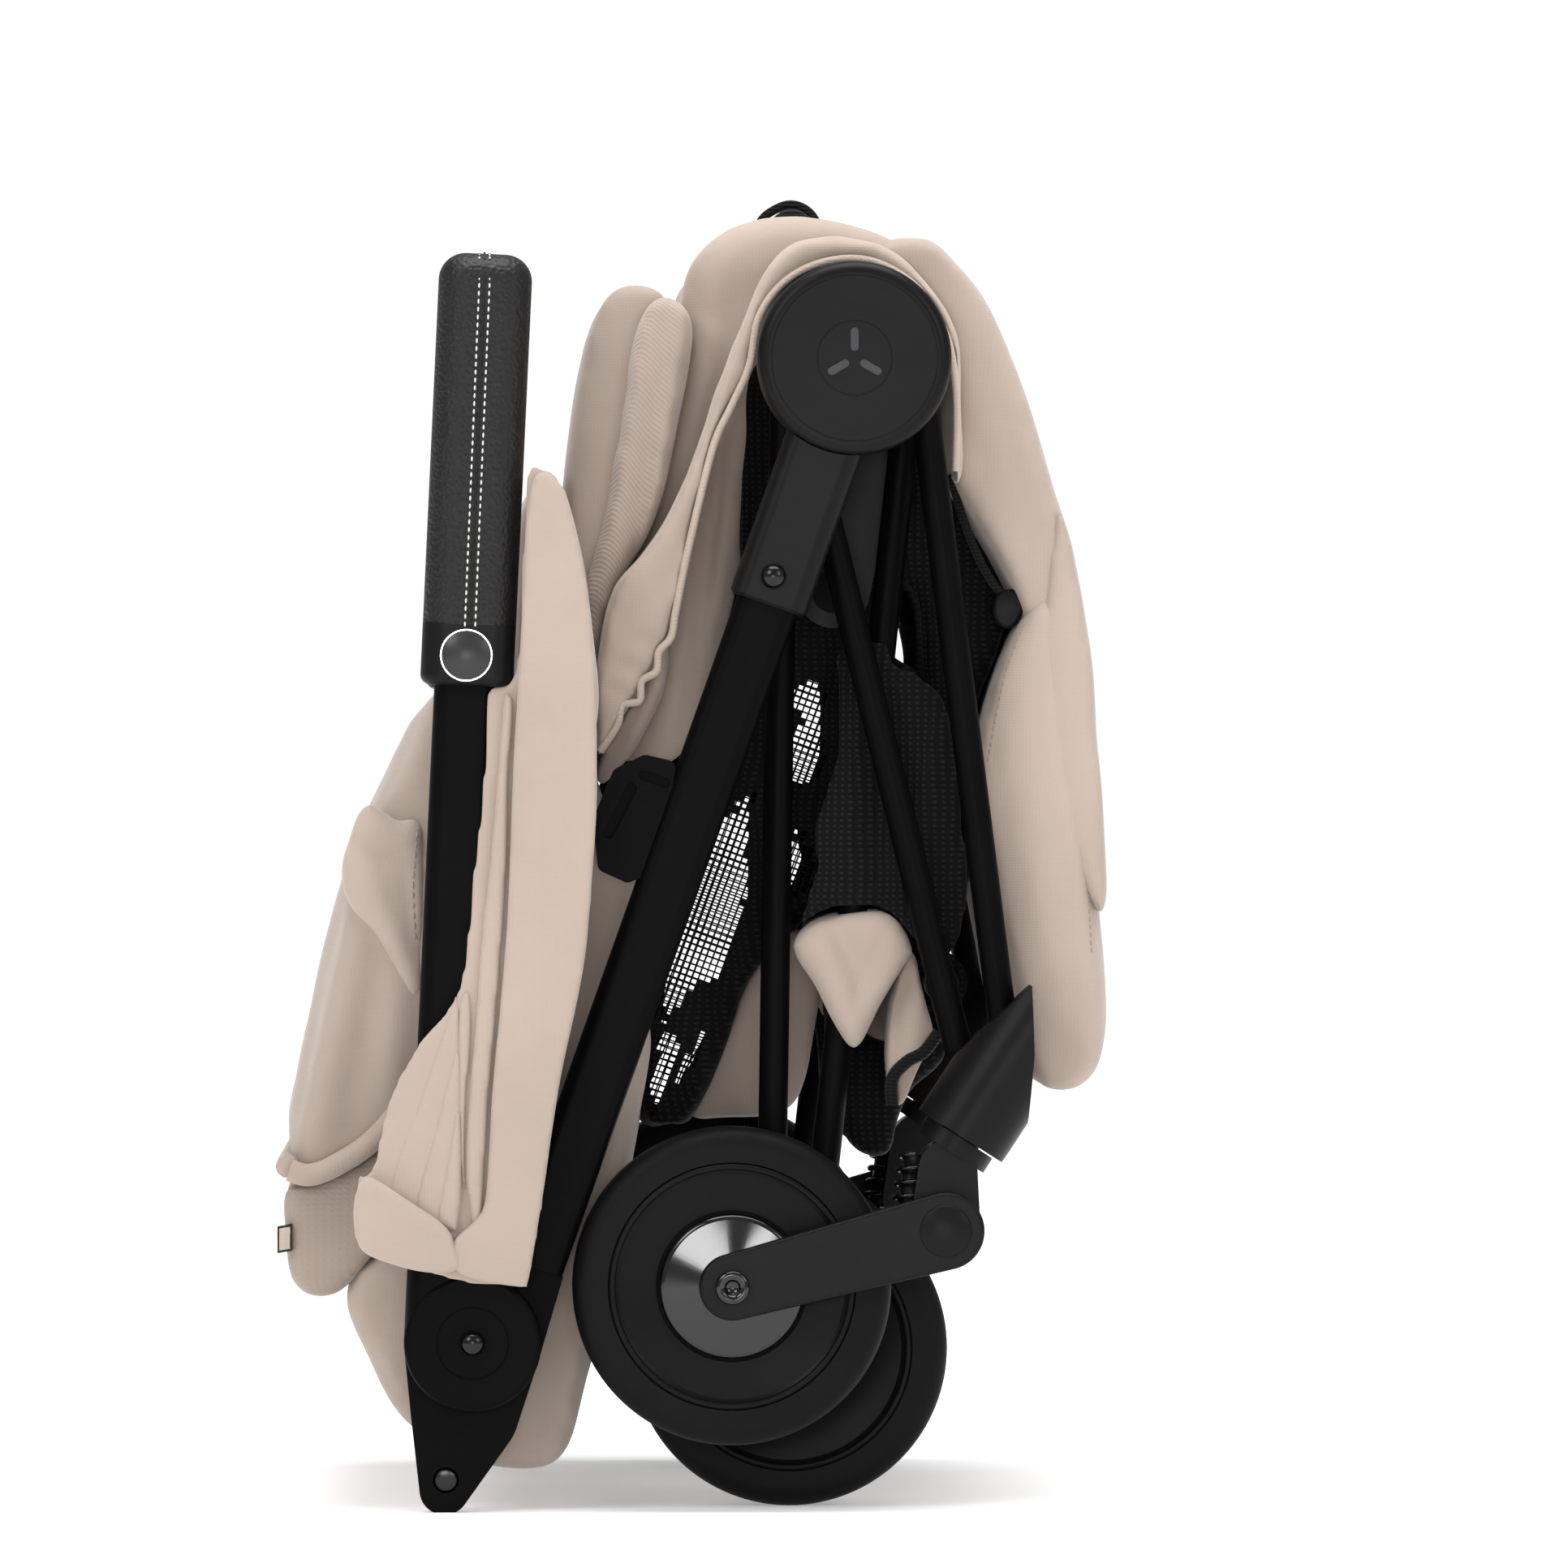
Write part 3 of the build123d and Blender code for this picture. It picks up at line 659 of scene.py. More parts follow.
class STROLLER_OT_springs(bpy.types.Operator):
    """Suspension springs and dampers beside the casters"""
    bl_idname = "stroller.springs"
    bl_label = "Suspension Springs"

    def execute(self, context):
        for side, sign in SIDES.items():
            top = Vector((0.0905, sign * 0.198, 0.146))
            foot = Vector((0.0865, sign * 0.198, 0.112))
            along = foot - top
            frame_turn = along.to_track_quat("Z", "Y").to_matrix()
            coil = []
            turns, per_turn, radius = 6, 20, 0.0062
            for i in range(turns * per_turn + 1):
                angle = 2 * math.pi * i / per_turn
                offset = Vector((math.cos(angle) * radius, math.sin(angle) * radius,
                                 along.length * i / (turns * per_turn)))
                coil.append(top + frame_turn @ offset)
            spring = tube(f"suspension_spring_{side}", coil, 0.0011, "black_steel", 8)
            place(spring, f"caster_{side}")
            core = [(0, 0), (4.4, 0), (4.4, 34), (0, 34)]
            rod = turned(core, top, along, 32)
            place(to_object(f"damper_core_{side}", rod, "black_plastic"), f"caster_{side}")
        return {"FINISHED"}


class STROLLER_OT_grip_stitching(bpy.types.Operator):
    """Double rows of pale stitching on the leather grips, and the seam between them"""
    bl_idname = "stroller.grip_stitching"
    bl_label = "Grip Stitching"

    def execute(self, context):
        low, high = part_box("grip_side_right")
        foot = Vector((low[0] + 0.0193, 0, low[2] + 0.001))
        head = Vector((high[0] - 0.0193, 0, high[2]))
        rows, seams = [], []
        for sign in SIDES.values():
            outer = sign * 0.2256
            for across in (-0.0021, 0.0021):
                rows.append([
                    Vector((foot.x + across, outer, foot.z)),
                    Vector((head.x + across, outer, head.z - 0.012)),
                    Vector((head.x + across, sign * 0.2215, head.z - 0.0025)),
                    Vector((head.x + across, sign * 0.214, head.z + 0.0003)),
                    Vector((head.x + across, sign * 0.196, head.z + 0.0003))])
            seams.append([Vector((foot.x, outer, foot.z)), Vector((head.x, outer, head.z - 0.011)),
                          Vector((head.x, sign * 0.2212, head.z - 0.0025)),
                          Vector((head.x, sign * 0.214, head.z)),
                          Vector((head.x, sign * 0.196, head.z))])
        place(stitched("grip_stitching", rows, sizes().stitch, 0.00045, "thread"), "handle")
        parts = [tube(f"grip_seam_{i}", seam, 0.0005, "black_leather", 8)
                 for i, seam in enumerate(seams)]
        place(join("grip_seams", parts, "black_leather"), "handle")
        return {"FINISHED"}


class STROLLER_OT_seat(bpy.types.Operator):
    """The padded seat and leg rest at the front, with its flap and seams"""
    bl_idname = "stroller.seat"
    bl_label = "Seat and Leg Rest"

    def execute(self, context):
        outline = [
            (74, 521), (96, 522), (104, 515), (119, 496), (134, 461), (147, 418), (154, 396),
            (157, 375), (153, 350), (142, 342), (136, 362), (126, 386), (114, 406), (105, 424),
            (105, 452), (100, 480), (90, 500), (78, 510)]
        seat = soft_form(
            "seat_cover", outline, -0.167, 0.167, edge=0.008, cap=0.002, lines=[
                ((108, 500), (128, 425), 11, 2.4), ((104, 440), (138, 378), 4, 2.0),
                ((120, 470), (141, 400), 3, -1.6)],
            creases=(0.09, 0.0018, (1, 1, 1), 3.0))
        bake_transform(seat)
        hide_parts("seat_pad")
        rest = soft_form(
            "leg_rest", [
                (137, 368), (146, 377), (151.5, 371), (154.5, 345), (158, 315), (163.5, 280),
                (166.5, 245), (169, 215), (169, 188), (164, 174), (151, 168.5), (141, 173), (135, 190),
                (127, 235), (119.5, 282), (117.5, 303), (121, 325), (128, 348)
            ], -0.171, 0.171, edge=0.008, cap=0.002,
            lines=[
                ((151, 366), (153, 320), 2.2, -1.8), ((153, 320), (162, 262), 2.2, -1.8),
                ((162, 262), (164, 215), 2.2, -1.4), ((137, 364), (121, 303), 2.0, -1.5),
                ((140, 340), (148, 200), 14, 2.0)],
            creases=(0.10, 0.0016, (1, 1, 1), 4.0))
        place_padded(rest, "seat")
        flap = soft_form(
            "leg_rest_flap", [
                (150, 411), (156, 396), (160.5, 375), (164, 352), (167.5, 315), (170, 280),
                (170.6, 247), (166.5, 244.5), (158, 262), (146, 300), (142, 350), (146, 385)
            ], -0.1695, 0.1695,
            voxel=0.0042, edge=0.003, lines=[((158, 380), (168, 260), 3, -1.0)],
            creases=(0.07, 0.0012, (1, 1, 1), 5.0))
        place_padded(flap, "seat")
        lines = {
            "side": [(151, 366), (151.5, 342), (154, 309), (161, 269), (164, 226)],
            "hem": [(136, 362), (128, 340), (121, 305)]}
        for side, sign in SIDES.items():
            runs = [onto(rest, curved(points, 12, closed=False), sign, 0.0002)
                    for points in lines.values()]
            seam = stitched(f"seat_stitching_{side}", runs, sizes().stitch, 0.0004, "seam_thread")
            place(seam, "seat")
        return {"FINISHED"}


class STROLLER_OT_backrest(bpy.types.Operator):
    """The folded backrest paddle and its corded inner pad"""
    bl_idname = "stroller.backrest"
    bl_label = "Backrest"

    def execute(self, context):
        # The paddle wears the darkened fabric: painted shade.
        paddle = soft_form(
            "backrest_paddle", [
                (-50.5, 404), (-47, 451), (-40, 487), (-30, 501.5), (-18, 502.5), (-9, 496), (-11, 470),
                (-20, 420), (-33, 372), (-42, 350), (-50, 362)], -0.164, 0.164, edge=0.006, cap=0.002,
            creases=(0.08, 0.0012, (1, 1, 1), 8.0), material="shade_fabric")
        place_padded(paddle, "push_bar", ("backrest_pad",))
        pad = soft_form(
            "backrest_inner_pad", [
                (-21, 489), (-12, 498), (-1, 491), (-1.7, 478), (-8, 445), (-14, 416), (-24, 391),
                (-31, 378), (-37, 358), (-40, 330), (-46, 322), (-44, 370), (-37, 405), (-30, 444)
            ], -0.1715, 0.1715,
            "ribbed_fabric", voxel=0.0035, edge=0.006, cap=0.002, lines=[
                ((-10, 492), (-30, 340), 2.4, -3.0), ((-20, 480), (-36, 370), 4.0, 1.8),
                ((-3, 488), (-20, 395), 3.0, 2.2)],
            creases=(0.05, 0.0014, (1.5, 1, 0.6), 11.0))
        place_padded(pad, "push_bar")
        return {"FINISHED"}


def leg_room(x):
    """How far the side cloth is drawn in behind the hub, so that the front legs swing past it."""
    start, run, drawn_in = 0.03, 0.04, 0.052
    return 1 - drawn_in * min(1.0, max(0.0, (x - start) / run))


class STROLLER_OT_seat_wrap(bpy.types.Operator):
    """The seat cloth that rises between the backrest and the hubs, with its bound side edges"""
    bl_idname = "stroller.seat_wrap"
    bl_label = "Seat Wrap"

    def execute(self, context):
        back = soft_form(
            "seat_wrap", [
                (-3, 484), (1.5, 508), (11, 522), (27, 530.5), (46, 531.5), (66, 527.5), (86, 518),
                (101, 500), (100, 470), (60, 458), (34, 445), (23, 425), (20, 395), (10, 350),
                (-3, 308), (-20, 303), (-34, 312), (-38, 345), (-27, 390), (-12, 440)
            ], -0.1485, 0.1485, edge=0.009, cap=0.003, lines=[
                ((20, 500), (2, 400), 5, -2.5), ((8, 480), (-12, 380), 5, 2.5),
                ((3, 378), (-15, 305), 4.5, 4.5), ((12, 430), (-3, 330), 3.0, -3.5),
                ((19, 440), (8, 350), 3.5, 3.0), ((14, 450), (4, 360), 2.0, -2.5)],
            creases=(0.06, 0.002, (1, 1, 1), 14.0))
        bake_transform(back)
        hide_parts("hub_fabric")
        band = [
            (-40, 311), (-39.5, 335), (-37, 360), (-31, 379), (-20, 392), (-5, 417), (5, 445),
            (16, 474), (26, 500), (37, 516), (56, 521.5), (77, 518), (93, 506), (106, 488), (111, 464),
            (110.5, 424), (106.5, 422), (107.5, 455), (104, 480), (92, 500), (74, 511), (55, 511),
            (38, 503), (27, 488), (23, 467), (9, 437), (-1, 395), (-7, 368), (-12, 353), (-19, 340),
            (-26, 330), (-36, 310)]
        for side, sign in SIDES.items():
            inner, outer = between(sign, 0.150, 0.189)
            wing = soft_form(f"side_wing_{side}", band, inner, outer, voxel=0.0035, edge=0.004, lines=[
                ((18, 460), (-12, 372), 2.2, -2.0), ((-36, 318), (-20, 352), 2.5, 2.5),
                ((-12, 352), (-24, 356), 1.8, -2.4), ((-18, 341), (-30, 346), 1.8, -2.4),
                ((-25, 331), (-35, 337), 1.8, -2.4), ((-2, 380), (-30, 350), 4, 1.5)],
                creases=(0.03, 0.0012, (1, 1, 1), 17.0))
            for vertex in wing.data.vertices:
                vertex.co.y *= leg_room(vertex.co.x)
            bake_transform(wing)
            edge = curved([
                (-38, 310), (-31, 321), (-29, 329), (-22, 331), (-21, 339), (-15, 343), (-14, 351),
                (-9, 357), (-7, 368), (-1.5, 395), (8, 434), (16, 452), (23, 468), (27, 488), (38, 503),
                (55, 511), (74, 511), (92, 500), (104, 480), (108, 455), (107.5, 425)], 8, closed=False)
            line = [Vector((p.x, sign * 0.188 * leg_room(p.x), p.y)) for p in edge]
            piping = tube(f"side_wing_piping_{side}", line, 0.0016, "binding_fabric", 12)
            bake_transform(piping)
            low, high = between(sign, 0.150, 0.176)
            tail = soft_form(
                f"side_gather_{side}", [
                    (-12, 358), (-9, 350), (-12, 336), (-16, 325), (-24, 310), (-34, 298), (-39, 297),
                    (-38, 308), (-28, 326), (-20, 338)], low, high, voxel=0.003, edge=0.003, lines=[
                    ((-14, 350), (-36, 302), 2.0, -2.2), ((-12, 344), (-27, 312), 1.6, 1.8)],
                creases=(0.02, 0.0014, (1, 1, 1), 19.0))
            place_padded(tail, "push_bar")
        return {"FINISHED"}


class STROLLER_OT_canopy(bpy.types.Operator):
    """The folded canopy: back, folds, side panels, visor and trim"""
    bl_idname = "stroller.canopy"
    bl_label = "Canopy"

    def execute(self, context):
        # The canopy back wears the darkened fabric: painted shade.
        back = soft_form(
            "canopy_back", [
                (-105, 337), (-117, 313), (-124, 296), (-131, 282), (-139, 262), (-147, 230),
                (-155, 197), (-166, 142), (-158, 131), (-140, 140), (-114, 158), (-100, 190),
                (-92, 250), (-88, 310), (-92, 334)], -0.184, 0.184, edge=0.008, cap=0.003, lines=[
                ((-135, 250), (-158, 150), 8, 2.5), ((-128, 230), (-142, 150), 3.0, -3.0),
                ((-122, 215), (-124, 165), 5, 2.5), ((-150, 215), (-166, 145), 3, -1.5)],
            creases=(0.08, 0.003, (1, 1, 1), 21.0), material="shade_fabric")
        place_padded(back, "push_bar", ("canopy_shell",))
        # The visor's darker cloth is painted shade.
        visor = soft_form(
            "canopy_visor", [
                (-167.5, 133), (-166.5, 108), (-164, 93), (-155, 86.5), (-143.5, 89), (-130, 104),
                (-115, 121), (-112, 150), (-126, 150), (-140, 141), (-158, 133)
            ], -0.181, 0.181, "visor_painted_shade_fabric",
            voxel=0.004, edge=0.006, creases=(0.05, 0.0015, (1, 1, 1), 24.0))
        place_padded(visor, "push_bar")
        bundle = soft_form(
            "canopy_gather", [
                (-66, 423), (-57, 422), (-50, 408), (-46, 364), (-45, 320), (-40, 290), (-24, 264),
                (-22, 236), (-30, 200), (-46, 165), (-66, 130), (-85, 108), (-105, 104), (-116, 120),
                (-104, 170), (-88, 240), (-80, 310), (-75, 340), (-71, 400)
            ], -0.183, 0.183, voxel=0.0052, edge=0.010, cap=0.003, lines=[
                ((-62, 410), (-66, 240), 4, -3), ((-72, 300), (-96, 140), 5, -3)],
            creases=(0.07, 0.003, (2.0, 0.6, 1.0), 27.0))
        place_padded(bundle, "push_bar", ("canopy_folds",))
        panel_outline = [
            (-68.5, 421), (-62, 425.5), (-55, 421), (-49.5, 408), (-41.5, 364), (-39, 310),
            (-40.5, 266), (-45, 220), (-54, 177), (-61, 130), (-67, 94), (-70, 92.5), (-92, 94),
            (-116, 101), (-135.5, 110), (-138.5, 116), (-137, 137), (-131, 140), (-124, 169),
            (-112, 192), (-95.5, 215), (-90, 262), (-86, 300), (-84, 335), (-74.5, 339), (-71, 362)]
        layers = {
            "fan_back": (0.2240, [
                (-96, 212), (-98.5, 207), (-111, 171), (-124, 135), (-121, 128), (-104, 118),
                (-97, 116), (-94.5, 150), (-94, 190)]),
            "fan_middle": (0.2256, [
                (-95.5, 190), (-98.2, 185), (-105.5, 156), (-113, 128), (-110, 122), (-98, 116),
                (-95, 140), (-94.5, 170)]),
            "fan_front": (0.2272, [
                (-95.3, 166), (-97.2, 162), (-101, 140), (-104.5, 121), (-100, 117), (-96, 117),
                (-94.8, 140)]),
            "tuck": (0.2252, [
                (-91.5, 213), (-95.3, 207), (-96.2, 178), (-95.3, 146), (-94.6, 124), (-93.6, 128),
                (-92.9, 165), (-90.3, 198)]),
            "strip": (0.2270, [
                (-74.5, 331), (-77, 333), (-80.4, 295), (-83, 262), (-86, 237), (-89, 198),
                (-91.7, 165), (-92.6, 140), (-90, 118), (-87, 118), (-85.8, 133), (-83.4, 172),
                (-80.5, 204), (-77, 250), (-75.3, 301), (-73.4, 329)]),
            "front": (0.2302, [
                (-66, 419), (-62, 424), (-55.5, 420), (-50, 407.5), (-42, 364), (-39.5, 310),
                (-41, 266), (-45.5, 220), (-54.5, 177), (-61.5, 130), (-67.5, 94.5), (-71, 93),
                (-86, 95), (-97, 99.5), (-98, 111), (-90, 119), (-84.6, 129), (-82, 172), (-79, 204),
                (-75.5, 250), (-73.8, 301), (-71.8, 334), (-70.2, 362), (-68.5, 400)]),
            "cuff": (0.2312, [
                (-135.5, 136), (-131, 137.5), (-116, 128), (-101, 117.5), (-97, 109), (-95, 100),
                (-110, 99), (-131, 105), (-137, 111.5), (-138.5, 125)])}
        for side, sign in SIDES.items():
            inner, outer = between(sign, 0.2187, 0.2226)
            panel = soft_form(f"canopy_panel_{side}", panel_outline, inner, outer, voxel=0.002,
                              edge=0.0014, creases=(0.05, 0.0004, (1, 1, 1), 31.0), relaxed=4)
            place_padded(panel, "push_bar", (f"canopy_side_{side}",))
            for name, (reach, points) in layers.items():
                low, high = between(sign, 0.2189, reach)
                layer = soft_form(f"canopy_layer_{name}_{side}", points, low, high, voxel=0.0017,
                                  edge=0.0011, creases=(0.04, 0.0003, (1, 1, 1), 32.0), relaxed=3)
                place_padded(layer, "push_bar")
            low, high = between(sign, 0.165, 0.2195)
            shoulder = soft_form(
                f"canopy_shoulder_{side}", [
                    (-68, 418), (-62, 424), (-55, 420), (-50, 408), (-42, 364), (-40, 318), (-50, 312),
                    (-64, 316), (-66, 350)], low, high, voxel=0.0035, edge=0.005,
                creases=(0.05, 0.0012, (1, 1, 1), 33.0))
            place_padded(shoulder, "push_bar")
            roll = curved(
                [(-165, 139), (-157, 137), (-146, 141), (-130, 152), (-112, 173)], 8, closed=False)
            line = [Vector((p.x, sign * 0.182, p.y)) for p in roll]
            piping = tube(f"visor_piping_{side}", line, 0.0048, "beige_fabric", 16)
            place(piping, "push_bar")
            low, high = between(sign, 0.170, 0.1885)
            pocket = soft_form(
                f"canopy_pocket_{side}", [
                    (-136, 286), (-131.5, 288), (-120, 281), (-111, 280), (-110.5, 215), (-116, 209),
                    (-122, 221), (-129, 235), (-139, 247), (-142.5, 260), (-139, 275)], low, high,
                voxel=0.003, edge=0.003, lines=[
                    ((-140, 272), (-112, 266), 2.0, -3.0), ((-137, 280), (-114, 274), 3.0, 2.4),
                    ((-134, 262), (-118, 222), 5.0, 2.4), ((-118, 262), (-113, 225), 2.4, -2.0)],
                creases=(0.04, 0.0016, (1, 1, 1), 35.0), outer_only=True)
            place_padded(pocket, "push_bar")
            seam = curved([(-113, 276), (-114.5, 255), (-113.5, 232)], 12, closed=False)
            row = stitched(f"canopy_pocket_stitching_{side}", [onto(pocket, seam, sign, 0.0003)],
                           sizes().stitch * 1.3, 0.0005, "seam_thread")
            place(row, "push_bar")
            plate = slab([(-170, 105), (-164, 106), (-164, 117), (-170, 116)],
                         sign * 0.1795, sign * 0.1835, 0.0004, 1)
            place(to_object(f"visor_tab_{side}", plate, "black_steel"), "push_bar")
            plate = slab([(-169.2, 106.2), (-164.8, 106.9), (-164.8, 115.9), (-169.2, 115.2)],
                         sign * 0.1830, sign * 0.1839, 0.0002, 1)
            place(to_object(f"visor_tab_cloth_{side}", plate, "binding_fabric"), "push_bar")
        across = [Vector((-0.1660, y * MM, 0.1405)) for y in range(-182, 183, 7)]
        piping = tube("visor_piping_back", across, 0.0048, "beige_fabric", 16)
        place(piping, "push_bar")
        return {"FINISHED"}


class STROLLER_OT_rear_panel(bpy.types.Operator):
    """The lower cloth between the elbows and the rear wheels"""
    bl_idname = "stroller.rear_panel"
    bl_label = "Rear Panel"

    def execute(self, context):
        # The rear cloth wears the darkened fabric: painted shade.
        panel = soft_form(
            "rear_cloth", [
                (-19, 206), (-24, 154), (-36, 85), (-45, 50), (-53, 22), (-60, 14.5), (-82, 16.5),
                (-101, 26), (-117, 38), (-130, 62), (-141, 88), (-128, 104), (-96, 112), (-70, 140),
                (-52, 204)],
            -0.180, 0.180, "shade_fabric", edge=0.004, cap=0.002, lines=[
                ((-38, 150), (-58, 72), 2.0, -2.0), ((-58, 72), (-66, 42), 2.0, -2.0),
                ((-66, 42), (-84, 22), 2.0, -1.6), ((-30, 190), (-48, 40), 7, 1.6)],
            creases=(0.08, 0.002, (1, 1, 1), 37.0))
        place_padded(panel, "push_bar", ("rear_panel",))
        return {"FINISHED"}


def in_windows(x, z, windows):
    """True where a side-view point lies in an ellipse of (x, z, half length, half width, tilt)."""
    for cx, cz, long, wide, tilt in windows:
        turn = math.radians(tilt)
        dx, dz = x / MM - cx, z / MM - cz
        u = dx * math.cos(turn) + dz * math.sin(turn)
        v = dz * math.cos(turn) - dx * math.sin(turn)
        ragged = 0.7 * noise.noise(Vector((x, z, 0)) / 0.006)
        if (u / long) ** 2 + (v / wide) ** 2 < 1 + ragged:
            return True
    return False


class STROLLER_OT_basket(bpy.types.Operator):
    """The crumpled net basket with its cloth lining"""
    bl_idname = "stroller.basket"
    bl_label = "Basket"

    def execute(self, context):
        outline = [
            (27, 345), (34, 352), (47, 372), (66, 379), (78, 375), (82, 364), (83, 350), (90, 343),
            (105, 330), (112, 300), (114, 265), (108, 238), (97, 228), (90, 233), (78, 246), (62, 247),
            (50, 244), (40, 236), (33, 229), (26, 221), (12, 189), (-2, 159), (-10, 156), (-18, 158),
            (-17, 180), (-15, 204), (-9, 235), (4, 275), (16, 315)]
        bag = to_object("basket_net", slab(outline, -0.140, 0.140, 0.006, 4), "black_mesh")
        tilt = Matrix.Rotation(math.radians(-20), 4, "Y")
        bag.data.transform(tilt)
        remesh(bag, sizes().net_pitch, 4)
        bag.data.transform(tilt.inverted())
        wrinkle(bag, 0.035, 0.005, (1.4, 0.8, 0.8), 41.0)
        windows = [
            (10, 262, 31, 8, 66), (-4, 220, 22, 8, 62), (13, 240, 26, 7, 72), (-12, 178, 20, 3.5, 78),
            (0, 184, 14, 2, 60), (48, 331, 8, 8, 0), (47.5, 309, 13, 7.5, 80), (44, 263, 14, 6, 85)]
        bm = bmesh.new()
        bm.from_mesh(bag.data)
        beyond = [(x + 7, z, long + 3, wide + 6, turn) for x, z, long, wide, turn in windows]
        open_net = []
        for face in bm.faces:
            at = face.calc_center_median()
            if abs(face.normal.y) > 0.35 and in_windows(at.x, at.z, windows if at.y < 0 else beyond):
                open_net.append(face)
        bmesh.ops.inset_individual(bm, faces=open_net, thickness=sizes().net_pitch * 0.15)
        bmesh.ops.delete(bm, geom=open_net, context="FACES")
        bm.to_mesh(bag.data)
        bm.free()
        dress(bag, "black_mesh")
        thick = bag.modifiers.new("thickness", "SOLIDIFY")
        thick.thickness = 0.0006
        thick.offset = 0
        place(bag, "rear_legs", ("basket",))
        upper = soft_form(
            "under_seat_cloth", [
                (22, 470), (42, 486), (88, 482), (102, 447), (112, 421), (122, 393), (133, 376),
                (131, 365), (126, 350), (120, 334), (114, 318), (106, 308), (99, 318), (95, 340),
                (94.5, 358), (92, 374), (87, 380), (70, 384), (54, 386), (38, 384), (22, 384),
                (20, 410), (20, 440)],
            -0.1470, 0.1470, "black_mesh", edge=0.006,
            creases=(0.04, 0.002, (1, 1, 1), 42.0))
        place_padded(upper, "chassis")
        sleeve = [
            (7.4, -142), (12, -142), (13, -70), (12, 0), (13, 70), (12, 142), (7.4, 142), (7.4, -142)]
        hem = turned(sleeve, (0.1019, 0, 0.215), (0, 1, 0), 40)
        place(to_object("cross_tube_sleeve", hem, "black_mesh"), "front_legs")
        for side, sign in SIDES.items():
            low, high = between(sign, 0.1736, 0.1775)
            drape = soft_form(
                f"basket_drape_{side}", [
                    (58, 352), (70, 357), (80, 355), (83, 346), (92, 342), (104, 330), (110, 300),
                    (113, 265), (112, 240), (106, 226), (98, 226), (90, 233), (80, 244), (63, 246),
                    (51, 243), (44, 237), (46, 250), (50, 262), (49, 278), (53, 292), (57, 305),
                    (59, 320), (59, 335)], low, high,
                "black_mesh", voxel=0.0025, edge=0.0012, lines=[
                    ((70, 345), (60, 255), 5, 2.0), ((80, 330), (76, 250), 4, -1.5),
                    ((100, 320), (84, 250), 4, 2.0), ((52, 252), (88, 240), 3, 2.2)],
                creases=(0.03, 0.0009, (1, 1, 1), 45.0), outer_only=True)
            place_padded(drape, "rear_legs")
            low, high = between(sign, 0.110, 0.130)
            lobe = soft_form(
                f"basket_hem_{side}", [
                    (56, 212), (70, 196), (84, 190), (100, 196), (104, 184), (92, 172), (86, 158),
                    (82, 142), (66, 146), (58, 170)], low, high, "black_mesh", voxel=0.004, edge=0.004,
                creases=(0.03, 0.002, (1, 1, 1), 46.0))
            place_padded(lobe, "rear_legs")
            trim = curved([(82, 165), (82, 176), (88, 183), (95, 187), (101, 195)], 8, closed=False)
            line = [Vector((q.x, sign * 0.170, q.y)) for q in trim]
            place(tube(f"basket_trim_{side}", line, 0.0026, "webbing", 12), "rear_legs")
        # The basket back wears the darkened fabric: painted shade.
        rear = soft_form(
            "basket_back", [
                (27, 222), (41, 238), (52, 232), (54, 215), (51, 195), (46, 172), (38, 161), (12, 160),
                (-1, 160), (12, 190)], -0.134, 0.134, "shade_fabric", voxel=0.004, edge=0.006,
            lines=[((30, 215), (20, 165), 5, 2.0), ((49, 210), (40, 165), 2.0, -1.6)],
            creases=(0.06, 0.002, (1, 1, 1), 43.0))
        place_padded(rear, "rear_legs")
        lining = soft_form(
            "basket_lining", [
                (42, 231), (52, 241), (66, 244), (81, 243), (90, 230), (86, 221), (74, 202),
                (66.5, 188.5), (60, 197), (51, 214)],
            -0.1795, 0.1795, voxel=0.003, edge=0.003, lines=[((80, 240), (62, 198), 1.6, -2.0),
                ((50, 238), (64, 200), 6, 3.0), ((56, 242), (70, 215), 3, -2.5)],
            creases=(0.04, 0.002, (1, 1, 1), 44.0))
        place_padded(lining, "rear_legs")
        tail = soft_form(
            "basket_tail", [
                (90, 229), (94, 220), (98, 205), (99, 192), (92, 180), (86, 164), (82, 166), (80, 185),
                (80, 205), (84, 220)],
            -0.1685, 0.1685, voxel=0.003, edge=0.003, lines=[((88, 218), (83, 172), 1.6, -2.2),
                ((92, 210), (90, 180), 4, 2.0)],
            creases=(0.04, 0.002, (1, 1, 1), 47.0))
        place_padded(tail, "rear_legs")
        return {"FINISHED"}


